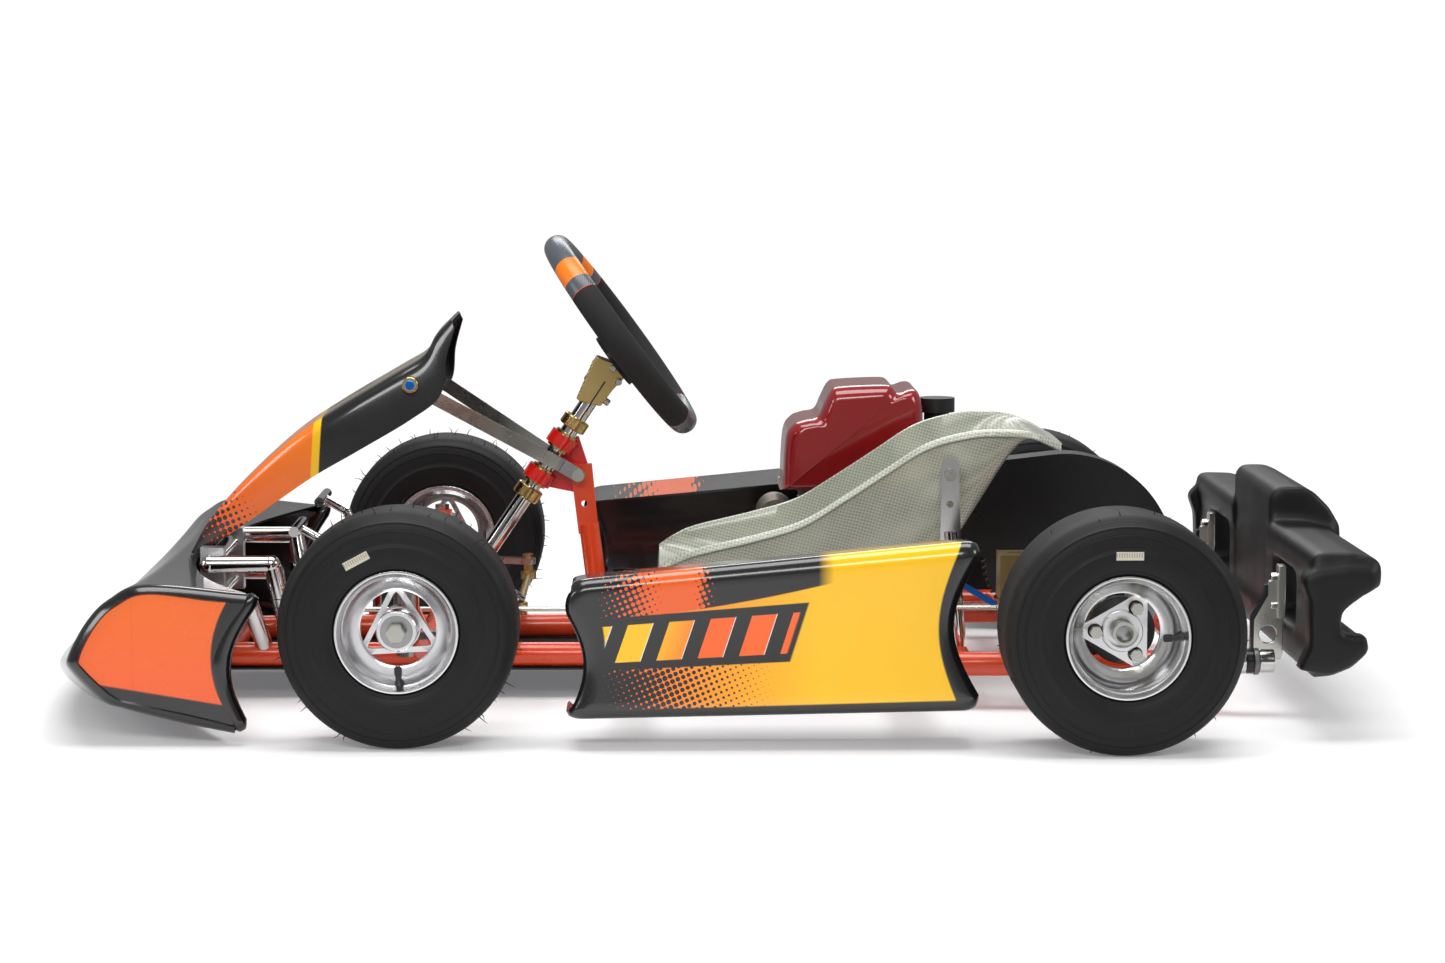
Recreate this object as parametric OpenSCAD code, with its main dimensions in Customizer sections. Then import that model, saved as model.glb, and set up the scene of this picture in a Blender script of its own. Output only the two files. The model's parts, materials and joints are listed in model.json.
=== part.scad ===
/* [Wheels and track] */
// Distance from the front axle to the rear axle
wheelbase = 775; // [760:1:785]
// Outer radius of all four tyres
tyre_r = 129; // [127:1:130]
// Distance between the middles of the front tyres
front_track = 780; // [776:1:786]
// Distance between the middles of the rear tyres
rear_track = 860; // [856:1:866]
// Width of a front tyre
front_tyre_w = 100; // [96:1:102]
// Width of a rear tyre
rear_tyre_w = 125; // [120:1:127]
// Radius of the rim's flanges
rim_r = 66.5; // [66:0.5:67]

/* [Frame] */
// Radius of the main frame tubes
rail_r = 14; // [13:0.5:15]
// Height of the frame tubes' middle line
rail_z = 50; // [49:0.5:51]
// Thickness of the floor tray
tray_t = 2; // [1.5:0.5:2]

/* [Steering] */
// Distance from the kart's middle to each kingpin
kingpin_y = 315; // [313:1:316]
// Kingpin radius
kingpin_r = 4.95; // [4.9:0.05:5]
// Distance from a kingpin back to its tie rod
arm_l = 112; // [110:1:114]
// Distance from the column to the tie rods' inner ends
pitman_l = 60; // [58:1:62]
// Radius of the steering column
column_r = 10; // [9:0.5:10]
// Radius of the steering wheel rim's middle line
wheel_ring_r = 130; // [125:1:132]
// Radius of the steering wheel rim's section
wheel_grip_r = 15; // [13:0.5:16]

/* [Drive and brake] */
// Radius of the rear axle
axle_r = 12.5; // [12:0.5:12.5]
// Pitch of the chain
chain_pitch = 7.774; // [7.774:0.001:7.774]
// Teeth on the axle sprocket
axle_teeth = 74; // [72:1:76]
// Teeth on the clutch sprocket
clutch_teeth = 11; // [10:1:12]
// Radius of the brake disc
disc_r = 80; // [76:1:82]

/* [Bodywork] */
// Wall of the moulded plastic panels
panel_t = 3; // [2.5:0.5:3.5]
// Half of the nose fairing's width
nose_half_w = 402; // [398:1:405]
// Wall of the fibreglass seat
seat_t = 4; // [3:0.5:4]

/* [Hidden] */
$fn = 48;

front_x = -330;
rear_x = front_x + wheelbase;
axle_z = tyre_r;
front_y = front_track / 2;
rear_y = rear_track / 2;
sides = [-1, 1];

frame_colour = [0.86, 0.13, 0.03];
chrome_colour = [0.8, 0.8, 0.82];
zinc_colour = [0.62, 0.62, 0.6];
black_colour = [0.04, 0.04, 0.045];
orange_colour = [0.95, 0.3, 0.02];
yellow_colour = [0.98, 0.72, 0.03];
gold_colour = [0.78, 0.55, 0.12];
alloy_colour = [0.72, 0.72, 0.74];

// Running clearance between a shaft and its bore
run_gap = 0.05;

// The bolts that hold the front panel's struts, as x and z
panel_bolt = [-337, 366];
bracket_bolt = [-146, 250];

// ---- Helpers -------------------------------------------------------------

function unit(v) = v / norm(v);

// A round bar from a to b
module rod(a, b, r) {
    d = b - a;
    translate(a)
        rotate([0, acos(d[2] / norm(d)), atan2(d[1], d[0])])
            cylinder(h = norm(d), r = r);
}

// A bent round bar through a list of points. Each straight piece stops a little short of a bend,
// inside a ball that stands a little proud and whose poles lie along the bar.
bend_gap = 1.5;
ball_proud = 0.5;

module bent_bar(points, r) {
    last = len(points) - 2;
    for (i = [0 : last]) {
        d = unit(points[i + 1] - points[i]);
        rod(points[i] + (i > 0 ? bend_gap : 0) * d, points[i + 1] - (i < last ? bend_gap : 0) * d, r);
    }
    for (i = [1 : last]) {
        d = unit(unit(points[i + 1] - points[i]) + unit(points[i] - points[i - 1]));
        translate(points[i])
            rotate([0, acos(d[2]), atan2(d[1], d[0])])
                sphere(r + ball_proud);
    }
}

// A solid of revolution about the Y direction: children are drawn as (radius, y)
module spin_y(y = 0) {
    translate([0, y, 0]) rotate([-90, 0, 0]) rotate_extrude($fn = 72) children();
}

// A round disc or bar along Y from y0 to y1
module bar_y(x, z, y0, y1, r) {
    translate([x, y0, z]) rotate([-90, 0, 0]) cylinder(h = y1 - y0, r = r);
}

// A plate drawn in the X-Z plane, standing from y0 to y1
module plate_y(y0, y1) {
    translate([0, y1, 0]) rotate([90, 0, 0]) linear_extrude(height = y1 - y0) children();
}

module box(low, high) {
    translate(low) cube(high - low);
}

// Flips the children to the kart's other side, or leaves them
module on_side(side) {
    if (side > 0) children();
    else mirror([0, 1, 0]) children();
}

// Two discs with the straight runs of a belt round them
module belt_shape(a, ra, b, rb) {
    d = norm(b - a);
    dir = (b - a) / d;
    across = [-dir[1], dir[0]];
    c = (ra - rb) / d;
    s = sqrt(1 - c * c);
    translate(a) circle(r = ra, $fn = 96);
    translate(b) circle(r = rb, $fn = 48);
    polygon([a + ra * (c * dir + s * across), b + rb * (c * dir + s * across),
             b + rb * (c * dir - s * across), a + ra * (c * dir - s * across)]);
}

// The unit normal of a grid of points at row i, column j
function grid_normal(g, i, j) = unit(cross(
    g[min(i + 1, len(g) - 1)][j] - g[max(i - 1, 0)][j],
    g[i][min(j + 1, len(g[0]) - 1)] - g[i][max(j - 1, 0)]));

// A sheet of thickness t behind a grid of points
module thick_sheet(g, t) {
    m = len(g);
    n = len(g[0]);
    skin = [for (i = [0 : m - 1]) for (j = [0 : n - 1]) g[i][j]];
    back = [for (i = [0 : m - 1]) for (j = [0 : n - 1]) g[i][j] - t * grid_normal(g, i, j)];
    cells = [for (i = [0 : m - 2]) for (j = [0 : n - 2])
        [i * n + j, i * n + j + 1, (i + 1) * n + j + 1, (i + 1) * n + j]];
    o = m * n;
    rim = concat(
        [for (j = [0 : n - 2]) [j + 1, j, o + j, o + j + 1]],
        [for (j = [0 : n - 2]) let (k = (m - 1) * n + j) [k, k + 1, o + k + 1, o + k]],
        [for (i = [0 : m - 2]) [i * n, (i + 1) * n, o + (i + 1) * n, o + i * n]],
        [for (i = [0 : m - 2]) let (k = i * n + n - 1) [k + n, k, o + k, o + k + n]]);
    quads = concat(cells, [for (c = cells) [o + c[3], o + c[2], o + c[1], o + c[0]]], rim);
    polyhedron(points = concat(skin, back),
               faces = [for (q = quads) for (h = [0, 1]) h == 0 ? [q[0], q[1], q[2]] : [q[0], q[2], q[3]]]);
}

// A closed loft through outlines of equal length, capped at both ends
module loft(rings) {
    m = len(rings);
    n = len(rings[0]);
    skin = [for (i = [0 : m - 2]) for (j = [0 : n - 1]) for (h = [0, 1])
        let (a = i * n + j, b = i * n + (j + 1) % n)
            h == 0 ? [a, b + n, b] : [a, a + n, b + n]];
    polyhedron(points = [for (r = rings) for (p = r) p],
               faces = concat(skin, [[for (j = [0 : n - 1]) j]],
                              [[for (j = [n - 1 : -1 : 0]) (m - 1) * n + j]]));
}

// ---- Frame ----------------------------------------------------------------

function rail_points(side) = [
    [-570, side * 100, rail_z], [-80, side * 110, rail_z], [100, side * 180, rail_z],
    [370, side * 195, rail_z + 2], [630, side * 240, rail_z + 12]];

// Sideways place of a rail at the position x, straight between its bends
function rail_y(x) =
    x < -80 ? 100 + (x + 570) * 10 / 490
    : x < 100 ? 110 + (x + 80) * 70 / 180
    : x < 370 ? 180 + (x - 100) * 15 / 270
    : 195 + (x - 370) * 45 / 260;

function rail_height(x) = rail_z + (x < 100 ? 0 : x < 370 ? (x - 100) * 2 / 270 : 2 + (x - 370) * 10 / 260);

module left_frame_rail() {
    color(frame_colour) bent_bar(rail_points(-1), rail_r);
}

module right_frame_rail() {
    color(frame_colour) bent_bar(rail_points(1), rail_r);
}

beam_z = 66;
beam_bend_y = 170;
engine_rail_y = 300;
engine_rail_x = [70, 395];
tie_x = [92, 372];
yoke_back_y = kingpin_y - 38;

module cross_tube(x, z, half, r) {
    bar_y(x, z, -half, half, r);
}

module frame_cross_tubes() {
    color(frame_colour) {
        for (x = [-555, -118, 300, 560])
            cross_tube(x, rail_height(x), rail_y(x) - rail_r + 2, 11);
        cross_tube(front_x + 12, beam_z, beam_bend_y, rail_r);
        for (s = sides)
            rod([front_x + 12, s * (beam_bend_y + 16), beam_z + 4],
                [front_x, s * (yoke_back_y - 0.2), axle_z], rail_r);
        rod([engine_rail_x[0], engine_rail_y, rail_z], [engine_rail_x[1], engine_rail_y, rail_z], rail_r);
        for (x = tie_x) bar_y(x, rail_z, rail_y(x) + rail_r - 1, engine_rail_y - rail_r - 0.2, 11);
    }
}

ear_t = 8;
ear_gap = 62;

module yoke() {
    low = axle_z - ear_gap / 2 - ear_t;
    color(frame_colour) difference() {
        union() {
            box([front_x - 13, yoke_back_y, low], [front_x + 13, yoke_back_y + 12, axle_z + ear_gap / 2 + ear_t]);
            for (z = [low, axle_z + ear_gap / 2]) {
                translate([front_x, kingpin_y, z]) cylinder(h = ear_t, r = 13);
                box([front_x - 13, yoke_back_y, z], [front_x + 13, kingpin_y, z + ear_t]);
            }
        }
        translate([front_x, kingpin_y, low - 1]) cylinder(h = 100, r = kingpin_r + run_gap);
    }
}

module steering_yokes() {
    for (s = sides) on_side(s) yoke();
}

module kingpins() {
    low = axle_z - ear_gap / 2 - ear_t;
    color(zinc_colour) for (s = sides) translate([front_x, s * kingpin_y, 0]) {
        translate([0, 0, low - 6]) cylinder(h = ear_gap + 2 * ear_t + 12, r = kingpin_r);
        translate([0, 0, low - 7]) cylinder(h = 6.8, r = 9, $fn = 6);
        translate([0, 0, axle_z + ear_gap / 2 + ear_t + 0.2]) cylinder(h = 6.8, r = 9, $fn = 6);
    }
}

// ---- Steering line ---------------------------------------------------------

// The column leans back: its foot, its direction upwards, and the way its arm points
column_foot = [-317.2, 0, 65];
column_dir = [0.5615, 0, 0.8275];
arm_dir = [0.8275, 0, -0.5615];
column_lean = atan2(column_dir[0], column_dir[2]);
column_l = 330;
bush_at = [222, 271];
bush_l = 16;
upright_x = -118;

function on_column(s) = column_foot + s * column_dir;

// Places children with +Z along the column and +X along its arm
module along_column(s) {
    translate(on_column(s)) rotate([0, column_lean, 0]) children();
}

module column_upright() {
    color(frame_colour) difference() {
        union() {
            rod([upright_x, 0, rail_z + 10], [-134, 0, 190], 12);
            plate_y(-5, 5) polygon([[-146, 178], [-122, 178], [-130, 262], [-156, 262]]);
        }
        bar_y(-139, 214, -10, 10, 4);
        bar_y(bracket_bolt[0], bracket_bolt[1], -10, 10, 4.2);
    }
}

module column_bracket() {
    color([0.75, 0.06, 0.04]) difference() {
        union() {
            for (s = bush_at) along_column(s - bush_l / 2) cylinder(h = bush_l, r = 18);
            plate_y(5.1, 9) polygon([
                [on_column(214)[0] + 12, on_column(214)[2] - 8], [-126, 222], [-134, 258],
                [on_column(279)[0] + 15, on_column(279)[2] - 2], [on_column(279)[0] - 2, on_column(279)[2]],
                [on_column(214)[0], on_column(214)[2]]]);
        }
        along_column(190) cylinder(h = 120, r = 14);
        along_column(190) cylinder(h = 24, r = 40);
        bar_y(bracket_bolt[0], bracket_bolt[1], 0, 12, 4.2);
    }
}

module column_bushes() {
    color(gold_colour) difference() {
        for (s = bush_at) along_column(s - bush_l / 2 - 3) cylinder(h = bush_l + 6, r = 14);
        along_column(190) cylinder(h = 120, r = column_r + run_gap);
    }
}

arm_foot_s = (axle_z + 6 - column_foot[2]) / column_dir[2];
rod_end_y = 15;
tie_rod_z = (on_column(arm_foot_s) + pitman_l * arm_dir)[2] - 13.5;

module steering_column() {
    color(chrome_colour) {
        along_column(18) cylinder(h = column_l + 6, r = column_r);
        along_column(arm_foot_s) difference() {
            union() {
                translate([0, 0, -3]) cylinder(h = 6, r = 20);
                translate([0, -24, -3]) cube([pitman_l, 48, 6]);
                for (s = sides) translate([pitman_l, s * rod_end_y, -3]) cylinder(h = 6, r = 9);
            }
            for (s = sides) translate([pitman_l, s * rod_end_y, -4]) cylinder(h = 8, r = 4);
        }
    }
}

wheel_middle = [-94, 0, 415];
wheel_lean = atan2(0.808, 0.589);

// Places children with +Z out of the steering wheel towards the driver, and +X down its face
module on_wheel() {
    translate(wheel_middle) rotate([0, wheel_lean, 0]) children();
}

module steering_boss() {
    color(gold_colour) difference() {
        plate_y(-19, 19) polygon([[-138, 344], [-106, 328], [-93.6, 368.3], [-113.1, 395]]);
        along_column(300) cylinder(h = 54.2, r = column_r + 0.02);
    }
}

module wheel_spoke_plate() {
    color([0.1, 0.1, 0.11]) on_wheel() difference() {
        union() {
            translate([19, 0, -27]) cylinder(h = 5, r = 34);
            for (a = [90, 270, 0]) rotate([0, 0, a])
                box([30, -15, -6], [wheel_ring_r - wheel_grip_r + 3, 15, -2]);
            translate([19, 0, -22.2]) cylinder(h = 20.2, r = 32);
        }
        translate([19, 0, -17]) cylinder(h = 30, r = 27);
        for (a = [60 : 120 : 300]) translate([19 + 23 * cos(a), 23 * sin(a), -30]) cylinder(h = 20, r = 2.6);
    }
}

module wheel_rim() {
    color(black_colour) on_wheel() rotate_extrude($fn = 96)
        translate([wheel_ring_r, 0]) circle(r = wheel_grip_r);
}

// ---- Front corners --------------------------------------------------------

arm_in = 35;
barrel_l = ear_gap - 0.6;
stub_r = 8.5;
arm_z = tie_rod_z + 14;

module stub_axle() {
    color(zinc_colour) translate([front_x, kingpin_y, 0]) {
        difference() {
            union() {
                translate([0, 0, axle_z - barrel_l / 2]) cylinder(h = barrel_l, r = 12);
                translate([0, 0, axle_z]) rotate([-90, 0, 0]) cylinder(h = front_y - kingpin_y + 58, r = stub_r);
                translate([0, 0, axle_z]) rotate([-90, 0, 0]) cylinder(h = 48, r = 12);
                translate([0, 0, arm_z]) linear_extrude(height = 8) {
                    polygon([[0, -7], [0, 7], [arm_l, -arm_in + 7], [arm_l, -arm_in - 7]]);
                    translate([arm_l, -arm_in]) circle(r = 9);
                }
            }
            translate([0, 0, 50]) cylinder(h = 160, r = kingpin_r + 2 * run_gap);
            translate([arm_l, -arm_in, 50]) cylinder(h = 100, r = 4);
        }
        translate([0, front_y - kingpin_y + 47, axle_z]) rotate([-90, 0, 0]) cylinder(h = 9, r = 10.5, $fn = 6);
    }
}

module left_stub_axle() { on_side(-1) stub_axle(); }
module right_stub_axle() { on_side(1) stub_axle(); }

// A tie rod: a bar between two rod ends, whose balls hang below the arm and the column's plate
module tie_rod(s) {
    a = [front_x + arm_l, s * rod_end_y, tie_rod_z];
    b = [front_x + arm_l, s * (kingpin_y - arm_in), tie_rod_z];
    color(gold_colour) {
        bar_y(a[0], tie_rod_z, min(a[1], b[1]) + 9, max(a[1], b[1]) - 9, 4.5);
        for (p = [a, b]) translate(p - [0, 0, 5]) cylinder(h = 10, r = 10);
        translate(b + [0, 0, 4]) cylinder(h = 9.6, r = 6);
        translate(b) cylinder(h = 25, r = 3.9);
        translate(b + [0, 0, 22.3]) cylinder(h = 5, r = 7, $fn = 6);
    }
}

module left_tie_rod() { tie_rod(-1); }
module right_tie_rod() { tie_rod(1); }

// A hollow tyre's section as (radius, across), for a tyre of width w
module tyre_section(w) {
    h = w / 2;
    polygon([
        [63.3, -h + 8.3], [67, -h + 5.6], [72, -h + 3], [90, -h], [106, -h], [119, -h + 2.5],
        [126, -h + 7], [tyre_r - 0.5, -h + 12], [tyre_r, -h + 16], [tyre_r, h - 16], [tyre_r - 0.5, h - 12],
        [126, h - 7], [119, h - 2.5], [106, h], [90, h], [72, h - 3], [67, h - 5.6], [63.3, h - 8.3],
        [63.3, h - 14], [68, h - 13], [90, h - 6], [108, h - 6], [118, h - 12], [121, h - 18],
        [121, -h + 18], [118, -h + 12], [108, -h + 6], [90, -h + 6], [68, -h + 13], [63.3, -h + 14]]);
}

// A rim's shell section: two flanges, two bead seats and a well between them
module rim_section(w) {
    h = w / 2 - 2;
    polygon([
        [rim_r, h], [rim_r, h - 3.4], [63, h - 6], [63, h - 22], [56, h - 30], [56, -h + 26],
        [63, -h + 18], [63, -h + 6], [rim_r, -h + 3.4], [rim_r, -h], [60, -h], [60, -h + 17],
        [53, -h + 25], [53, h - 31], [60, h - 23], [60, h]]);
}

// Three long holes round a web: count, inner and outer radius, and half-angle
module web_windows(count, r0, r1, half) {
    for (k = [0 : count - 1]) rotate([0, 0, k * 360 / count]) {
        rotate_extrude(angle = 2 * half) translate([r0, -30]) square([r1 - r0, 60]);
        for (a = [0, 2 * half]) rotate([0, 0, a]) translate([(r0 + r1) / 2, 0, -30])
            cylinder(h = 60, r = (r1 - r0) / 2);
    }
}

// The part of a circle of radius r that lies beyond a straight bar at the distance d
module window_segment(d, r) {
    half = acos(d / r);
    polygon([for (k = [-6 : 6]) r * [cos(half * k / 6), sin(half * k / 6)]]);
}

web_y = 11;

module front_rim() {
    color(alloy_colour) translate([front_x, front_y, axle_z]) rotate([-90, 0, 0]) difference() {
        union() {
            rotate_extrude($fn = 72) rim_section(front_tyre_w);
            translate([0, 0, web_y]) cylinder(h = 5, r = 54.5);
            translate([0, 0, -24]) cylinder(h = 66, r = 22);
        }
        translate([0, 0, -25]) cylinder(h = 70, r = 13);
        for (z = [-25, 32]) translate([0, 0, z]) cylinder(h = 11, r = 17.5);
        for (k = [0 : 2]) rotate([0, 0, k * 120 + 55]) translate([0, 0, web_y - 4])
            linear_extrude(height = 13) window_segment(27, 41);
    }
}

module left_front_rim() { on_side(-1) front_rim(); }
module right_front_rim() { on_side(1) front_rim(); }

module front_tyre() {
    color(black_colour) translate([front_x, front_y, axle_z]) spin_y() tyre_section(front_tyre_w);
}

module left_front_tyre() { on_side(-1) front_tyre(); }
module right_front_tyre() { on_side(1) front_tyre(); }

module front_bearings() {
    color(zinc_colour) translate([front_x, front_y, axle_z]) rotate([-90, 0, 0]) difference() {
        for (z = [-24, 32.2]) translate([0, 0, z]) cylinder(h = 9.6, r = 17.48);
        translate([0, 0, -30]) cylinder(h = 90, r = stub_r + run_gap);
    }
}

module left_front_bearings() { on_side(-1) front_bearings(); }
module right_front_bearings() { on_side(1) front_bearings(); }

// ---- Rear axle ------------------------------------------------------------

rear_web_y = 8;
wheel_pcd = 58;

module at_rear() {
    translate([rear_x, 0, axle_z]) rotate([-90, 0, 0]) children();
}

module rear_axle() {
    color(zinc_colour) at_rear() difference() {
        translate([0, 0, -rear_y - 30]) cylinder(h = 2 * rear_y + 60, r = axle_r);
        translate([0, 0, -rear_y - 31]) cylinder(h = 2 * rear_y + 62, r = axle_r - 3);
    }
}

module rear_hubs() {
    color(gold_colour) for (s = sides) on_side(s) at_rear() difference() {
        union() {
            translate([0, 0, rear_y - 60]) cylinder(h = 60 + rear_web_y - 6, r = 20);
            translate([0, 0, rear_y + rear_web_y - 8]) cylinder(h = 8, r = 37);
        }
        translate([0, 0, rear_y - 61]) cylinder(h = 80, r = axle_r + 0.01);
        for (a = [60, 180, 300]) rotate([0, 0, a]) translate([wheel_pcd / 2, 0, rear_y - 20])
            cylinder(h = 60, r = 4.05);
    }
}

module rear_rims() {
    color(alloy_colour) for (s = sides) on_side(s) at_rear() translate([0, 0, rear_y]) difference() {
        union() {
            rotate_extrude($fn = 72) rim_section(rear_tyre_w);
            translate([0, 0, rear_web_y]) cylinder(h = 6, r = 54);
        }
        translate([0, 0, 0]) cylinder(h = 30, r = 19);
        for (a = [60, 180, 300]) rotate([0, 0, a]) translate([wheel_pcd / 2, 0, 0]) cylinder(h = 30, r = 4.05);
        rotate([0, 0, -15]) web_windows(3, 39, 49, 15);
    }
}

module rear_tyres() {
    color(black_colour) for (s = sides) on_side(s)
        translate([rear_x, rear_y, axle_z]) spin_y() tyre_section(rear_tyre_w);
}

module rear_wheel_bolts() {
    color(zinc_colour) for (s = sides) on_side(s) at_rear() for (a = [60, 180, 300])
        rotate([0, 0, a]) translate([wheel_pcd / 2, 0, rear_y + rear_web_y]) {
            translate([0, 0, -14]) cylinder(h = 26, r = 4);
            translate([0, 0, 6.1]) cylinder(h = 8, r = 7, $fn = 6);
        }
}

sprocket_y = 150;
sprocket_r = axle_teeth * chain_pitch / (2 * PI);
clutch_r = clutch_teeth * chain_pitch / (2 * PI);
clutch_at = [210, 179];

// A toothed wheel drawn flat: its teeth are points between round roots
module tooth_wheel(teeth, r) {
    step = 360 / teeth;
    polygon([for (k = [0 : teeth - 1]) for (p = [[-0.32, -2.4], [-0.14, 2.4], [0.14, 2.4], [0.32, -2.4]])
        (r + p[1]) * [cos((k + p[0]) * step), sin((k + p[0]) * step)]]);
}

module axle_sprocket() {
    color(black_colour) at_rear() difference() {
        union() {
            translate([0, 0, sprocket_y - 2]) linear_extrude(height = 4) tooth_wheel(axle_teeth, sprocket_r);
            translate([0, 0, sprocket_y - 22]) cylinder(h = 34, r = 24);
        }
        translate([0, 0, sprocket_y - 30]) cylinder(h = 60, r = axle_r + 0.01);
        web_windows(6, 52, 72, 14);
        for (k = [0 : 5]) rotate([0, 0, k * 60 + 44]) translate([34, 0, sprocket_y - 5]) cylinder(h = 10, r = 3.5);
    }
}

disc_y = -165;

module brake_disc() {
    color(zinc_colour) at_rear() difference() {
        union() {
            translate([0, 0, disc_y - 2]) cylinder(h = 4, r = disc_r);
            translate([0, 0, disc_y - 4]) cylinder(h = 28, r = 24);
        }
        translate([0, 0, disc_y - 20]) cylinder(h = 60, r = axle_r + 0.01);
        for (k = [0 : 11]) rotate([0, 0, k * 30]) translate([52 + 12 * (k % 2), 0, disc_y - 9])
            cylinder(h = 18, r = 4);
    }
}

carrier_y = 208;

module bearing_carriers() {
    color(black_colour) for (s = sides) on_side(s) difference() {
        union() {
            bar_y(rear_x, axle_z, carrier_y - 10, carrier_y + 10, 34);
            box([rear_x - 36, carrier_y - 10, 69], [rear_x + 36, carrier_y + 10, 100]);
        }
        bar_y(rear_x, axle_z, carrier_y - 12, carrier_y + 12, 26);
    }
}

module axle_bearings() {
    color(zinc_colour) for (s = sides) on_side(s) difference() {
        bar_y(rear_x, axle_z, carrier_y - 7.5, carrier_y + 7.5, 25.98);
        bar_y(rear_x, axle_z, carrier_y - 12, carrier_y + 12, axle_r + run_gap);
    }
}

// ---- Brake ---------------------------------------------------------------

lever_at = [352, 150];
rod_y = -150;
rod_z = 110;
lever_pin_r = 4;

module brake_caliper() {
    color(gold_colour) difference() {
        union() {
            box([340, disc_y - 22, 104], [400, disc_y + 24, 176]);
            box([340, disc_y - 40, 66], [372, disc_y - 14, 112]);
        }
        box([350, disc_y - 3.5, 90], [410, disc_y + 3.5, 180]);
        box([339, disc_y + 7, 103], [366, disc_y + 25, 124]);
        bar_y(rear_x, axle_z, disc_y - 4, disc_y + 26, 42);
        bar_y(382, 152, disc_y - 23, disc_y - 12, 14);
    }
    color(zinc_colour) {
        bar_y(lever_at[0], lever_at[1], disc_y + 23, disc_y + 33, lever_pin_r);
        bar_y(lever_at[0], lever_at[1], disc_y + 30.8, disc_y + 35, 7);
    }
}

module caliper_lever() {
    y0 = disc_y + 24.4;
    color(zinc_colour) difference() {
        union() {
            bar_y(lever_at[0], lever_at[1], y0, y0 + 6, 11);
            bar_y(lever_at[0], rod_z, y0, y0 + 6, 8);
            box([lever_at[0] - 6, y0, rod_z], [lever_at[0] + 6, y0 + 6, lever_at[1]]);
            bar_y(lever_at[0], rod_z, y0 - 14, y0 + 1, 3);
        }
        bar_y(lever_at[0], lever_at[1], y0 - 1, y0 + 8, lever_pin_r + run_gap);
    }
}

pedal_x = -400;
pedal_z = 52;
pedal_y = 140;
foot_x = -465;
foot_z = 205;

module brake_rod() {
    x0 = pedal_x;
    x1 = lever_at[0];
    color(zinc_colour) difference() {
        union() {
            rod([x0 + 6, rod_y, rod_z], [x1 - 6, rod_y, rod_z], 3);
            for (x = [x0, x1]) bar_y(x, rod_z, rod_y - 4, rod_y + 4, 10);
        }
        for (x = [x0, x1]) bar_y(x, rod_z, rod_y - 5, rod_y + 5, 6.5);
    }
}

// A pedal: a bent arm on a cross sleeve, with a round foot bar
module pedal(y) {
    bent_bar([[pedal_x, y, pedal_z], [pedal_x, y, 112], [-436, y, 188], [foot_x, y, foot_z]], 5.5);
    difference() {
        bar_y(pedal_x, pedal_z, y - 16, y + 16, 9);
        bar_y(pedal_x, pedal_z, y - 17, y + 17, 5.05);
    }
    bar_y(foot_x, foot_z, y - 48, y + 48, 6);
}

module brake_pedal() {
    color(chrome_colour) difference() {
        union() {
            pedal(-pedal_y);
            bar_y(pedal_x, rod_z, -pedal_y - 14, -pedal_y, 3);
        }
        bar_y(pedal_x, pedal_z, -pedal_y - 17, -pedal_y + 17, 5.05);
    }
}

module throttle_pedal() {
    color(chrome_colour) difference() {
        pedal(pedal_y);
        bar_y(pedal_x, pedal_z, pedal_y - 17, pedal_y + 17, 5.05);
    }
}

// Each pedal's pin with its two ears, which stand on a foot beside the rail
module pedal_mounts() {
    color(frame_colour) for (s = sides) {
        bar_y(pedal_x, pedal_z, s * pedal_y - 26, s * pedal_y + 24, 5);
        for (e = [-1, 1])
            box([pedal_x - 12, s * pedal_y + e * 21 - 3, rail_z - 12],
                [pedal_x + 12, s * pedal_y + e * 21 + 3, pedal_z + 10]);
        box([pedal_x - 12, s * 138 - 23, rail_z - 14], [pedal_x + 12, s * 138 + 26, rail_z - 10]);
    }
}

// ---- Front bodywork -----------------------------------------------------

module floor_tray() {
    color(black_colour) translate([0, 0, rail_z - rail_r - ball_proud - tray_t])
        linear_extrude(height = tray_t)
        polygon([[-565, -112], [-80, -122], [-40, -136], [-40, 136], [-80, 122], [-565, 112]]);
}

hoop_x = -570;
hoop_r = 10;

module front_bumper_bars() {
    color(chrome_colour) {
        bent_bar([[-478, -104, 58], [-498, -130, 160], [hoop_x, -130, 160],
                  [hoop_x, 130, 160], [-498, 130, 160], [-478, 104, 58]], hoop_r);
        bent_bar([[-510, -103, 58], [-524, -130, 115], [hoop_x, -130, 115],
                  [hoop_x, 130, 115], [-524, 130, 115], [-510, 103, 58]], hoop_r);
    }
}

module nose_clamps() {
    color(alloy_colour) for (s = sides) difference() {
        box([-584, s * 90 - 10, 100], [-557, s * 90 + 10, 175]);
        for (z = [115, 160]) bar_y(hoop_x, z, s * 90 - 12, s * 90 + 12, hoop_r + run_gap);
    }
}

// The nose fairing's outline in the X-Z plane at the share t of the way from its middle to its side.
// The first seven points run from the lower back edge round the front to the upper back edge.
nose_mid = [[-600, 28], [-690, 38], [-732, 42], [-741, 50], [-674, 116], [-612, 160], [-594, 156]];
nose_side = [[-504, 14], [-578, 32], [-640, 50], [-680, 92], [-658, 140], [-600, 173], [-489, 163]];

function nose_ring(y, inset) =
    let (t = pow(abs(y) / nose_half_w, 2.2),
         p = [for (k = [0 : 6]) (1 - t) * nose_mid[k] + t * nose_side[k]],
         c = [-600 + 60 * t, 96])
    [for (q = p) let (d = c - q) [q[0] + inset * d[0] / norm(d), y, q[1] + inset * d[1] / norm(d)]];

nose_steps = 10;

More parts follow.
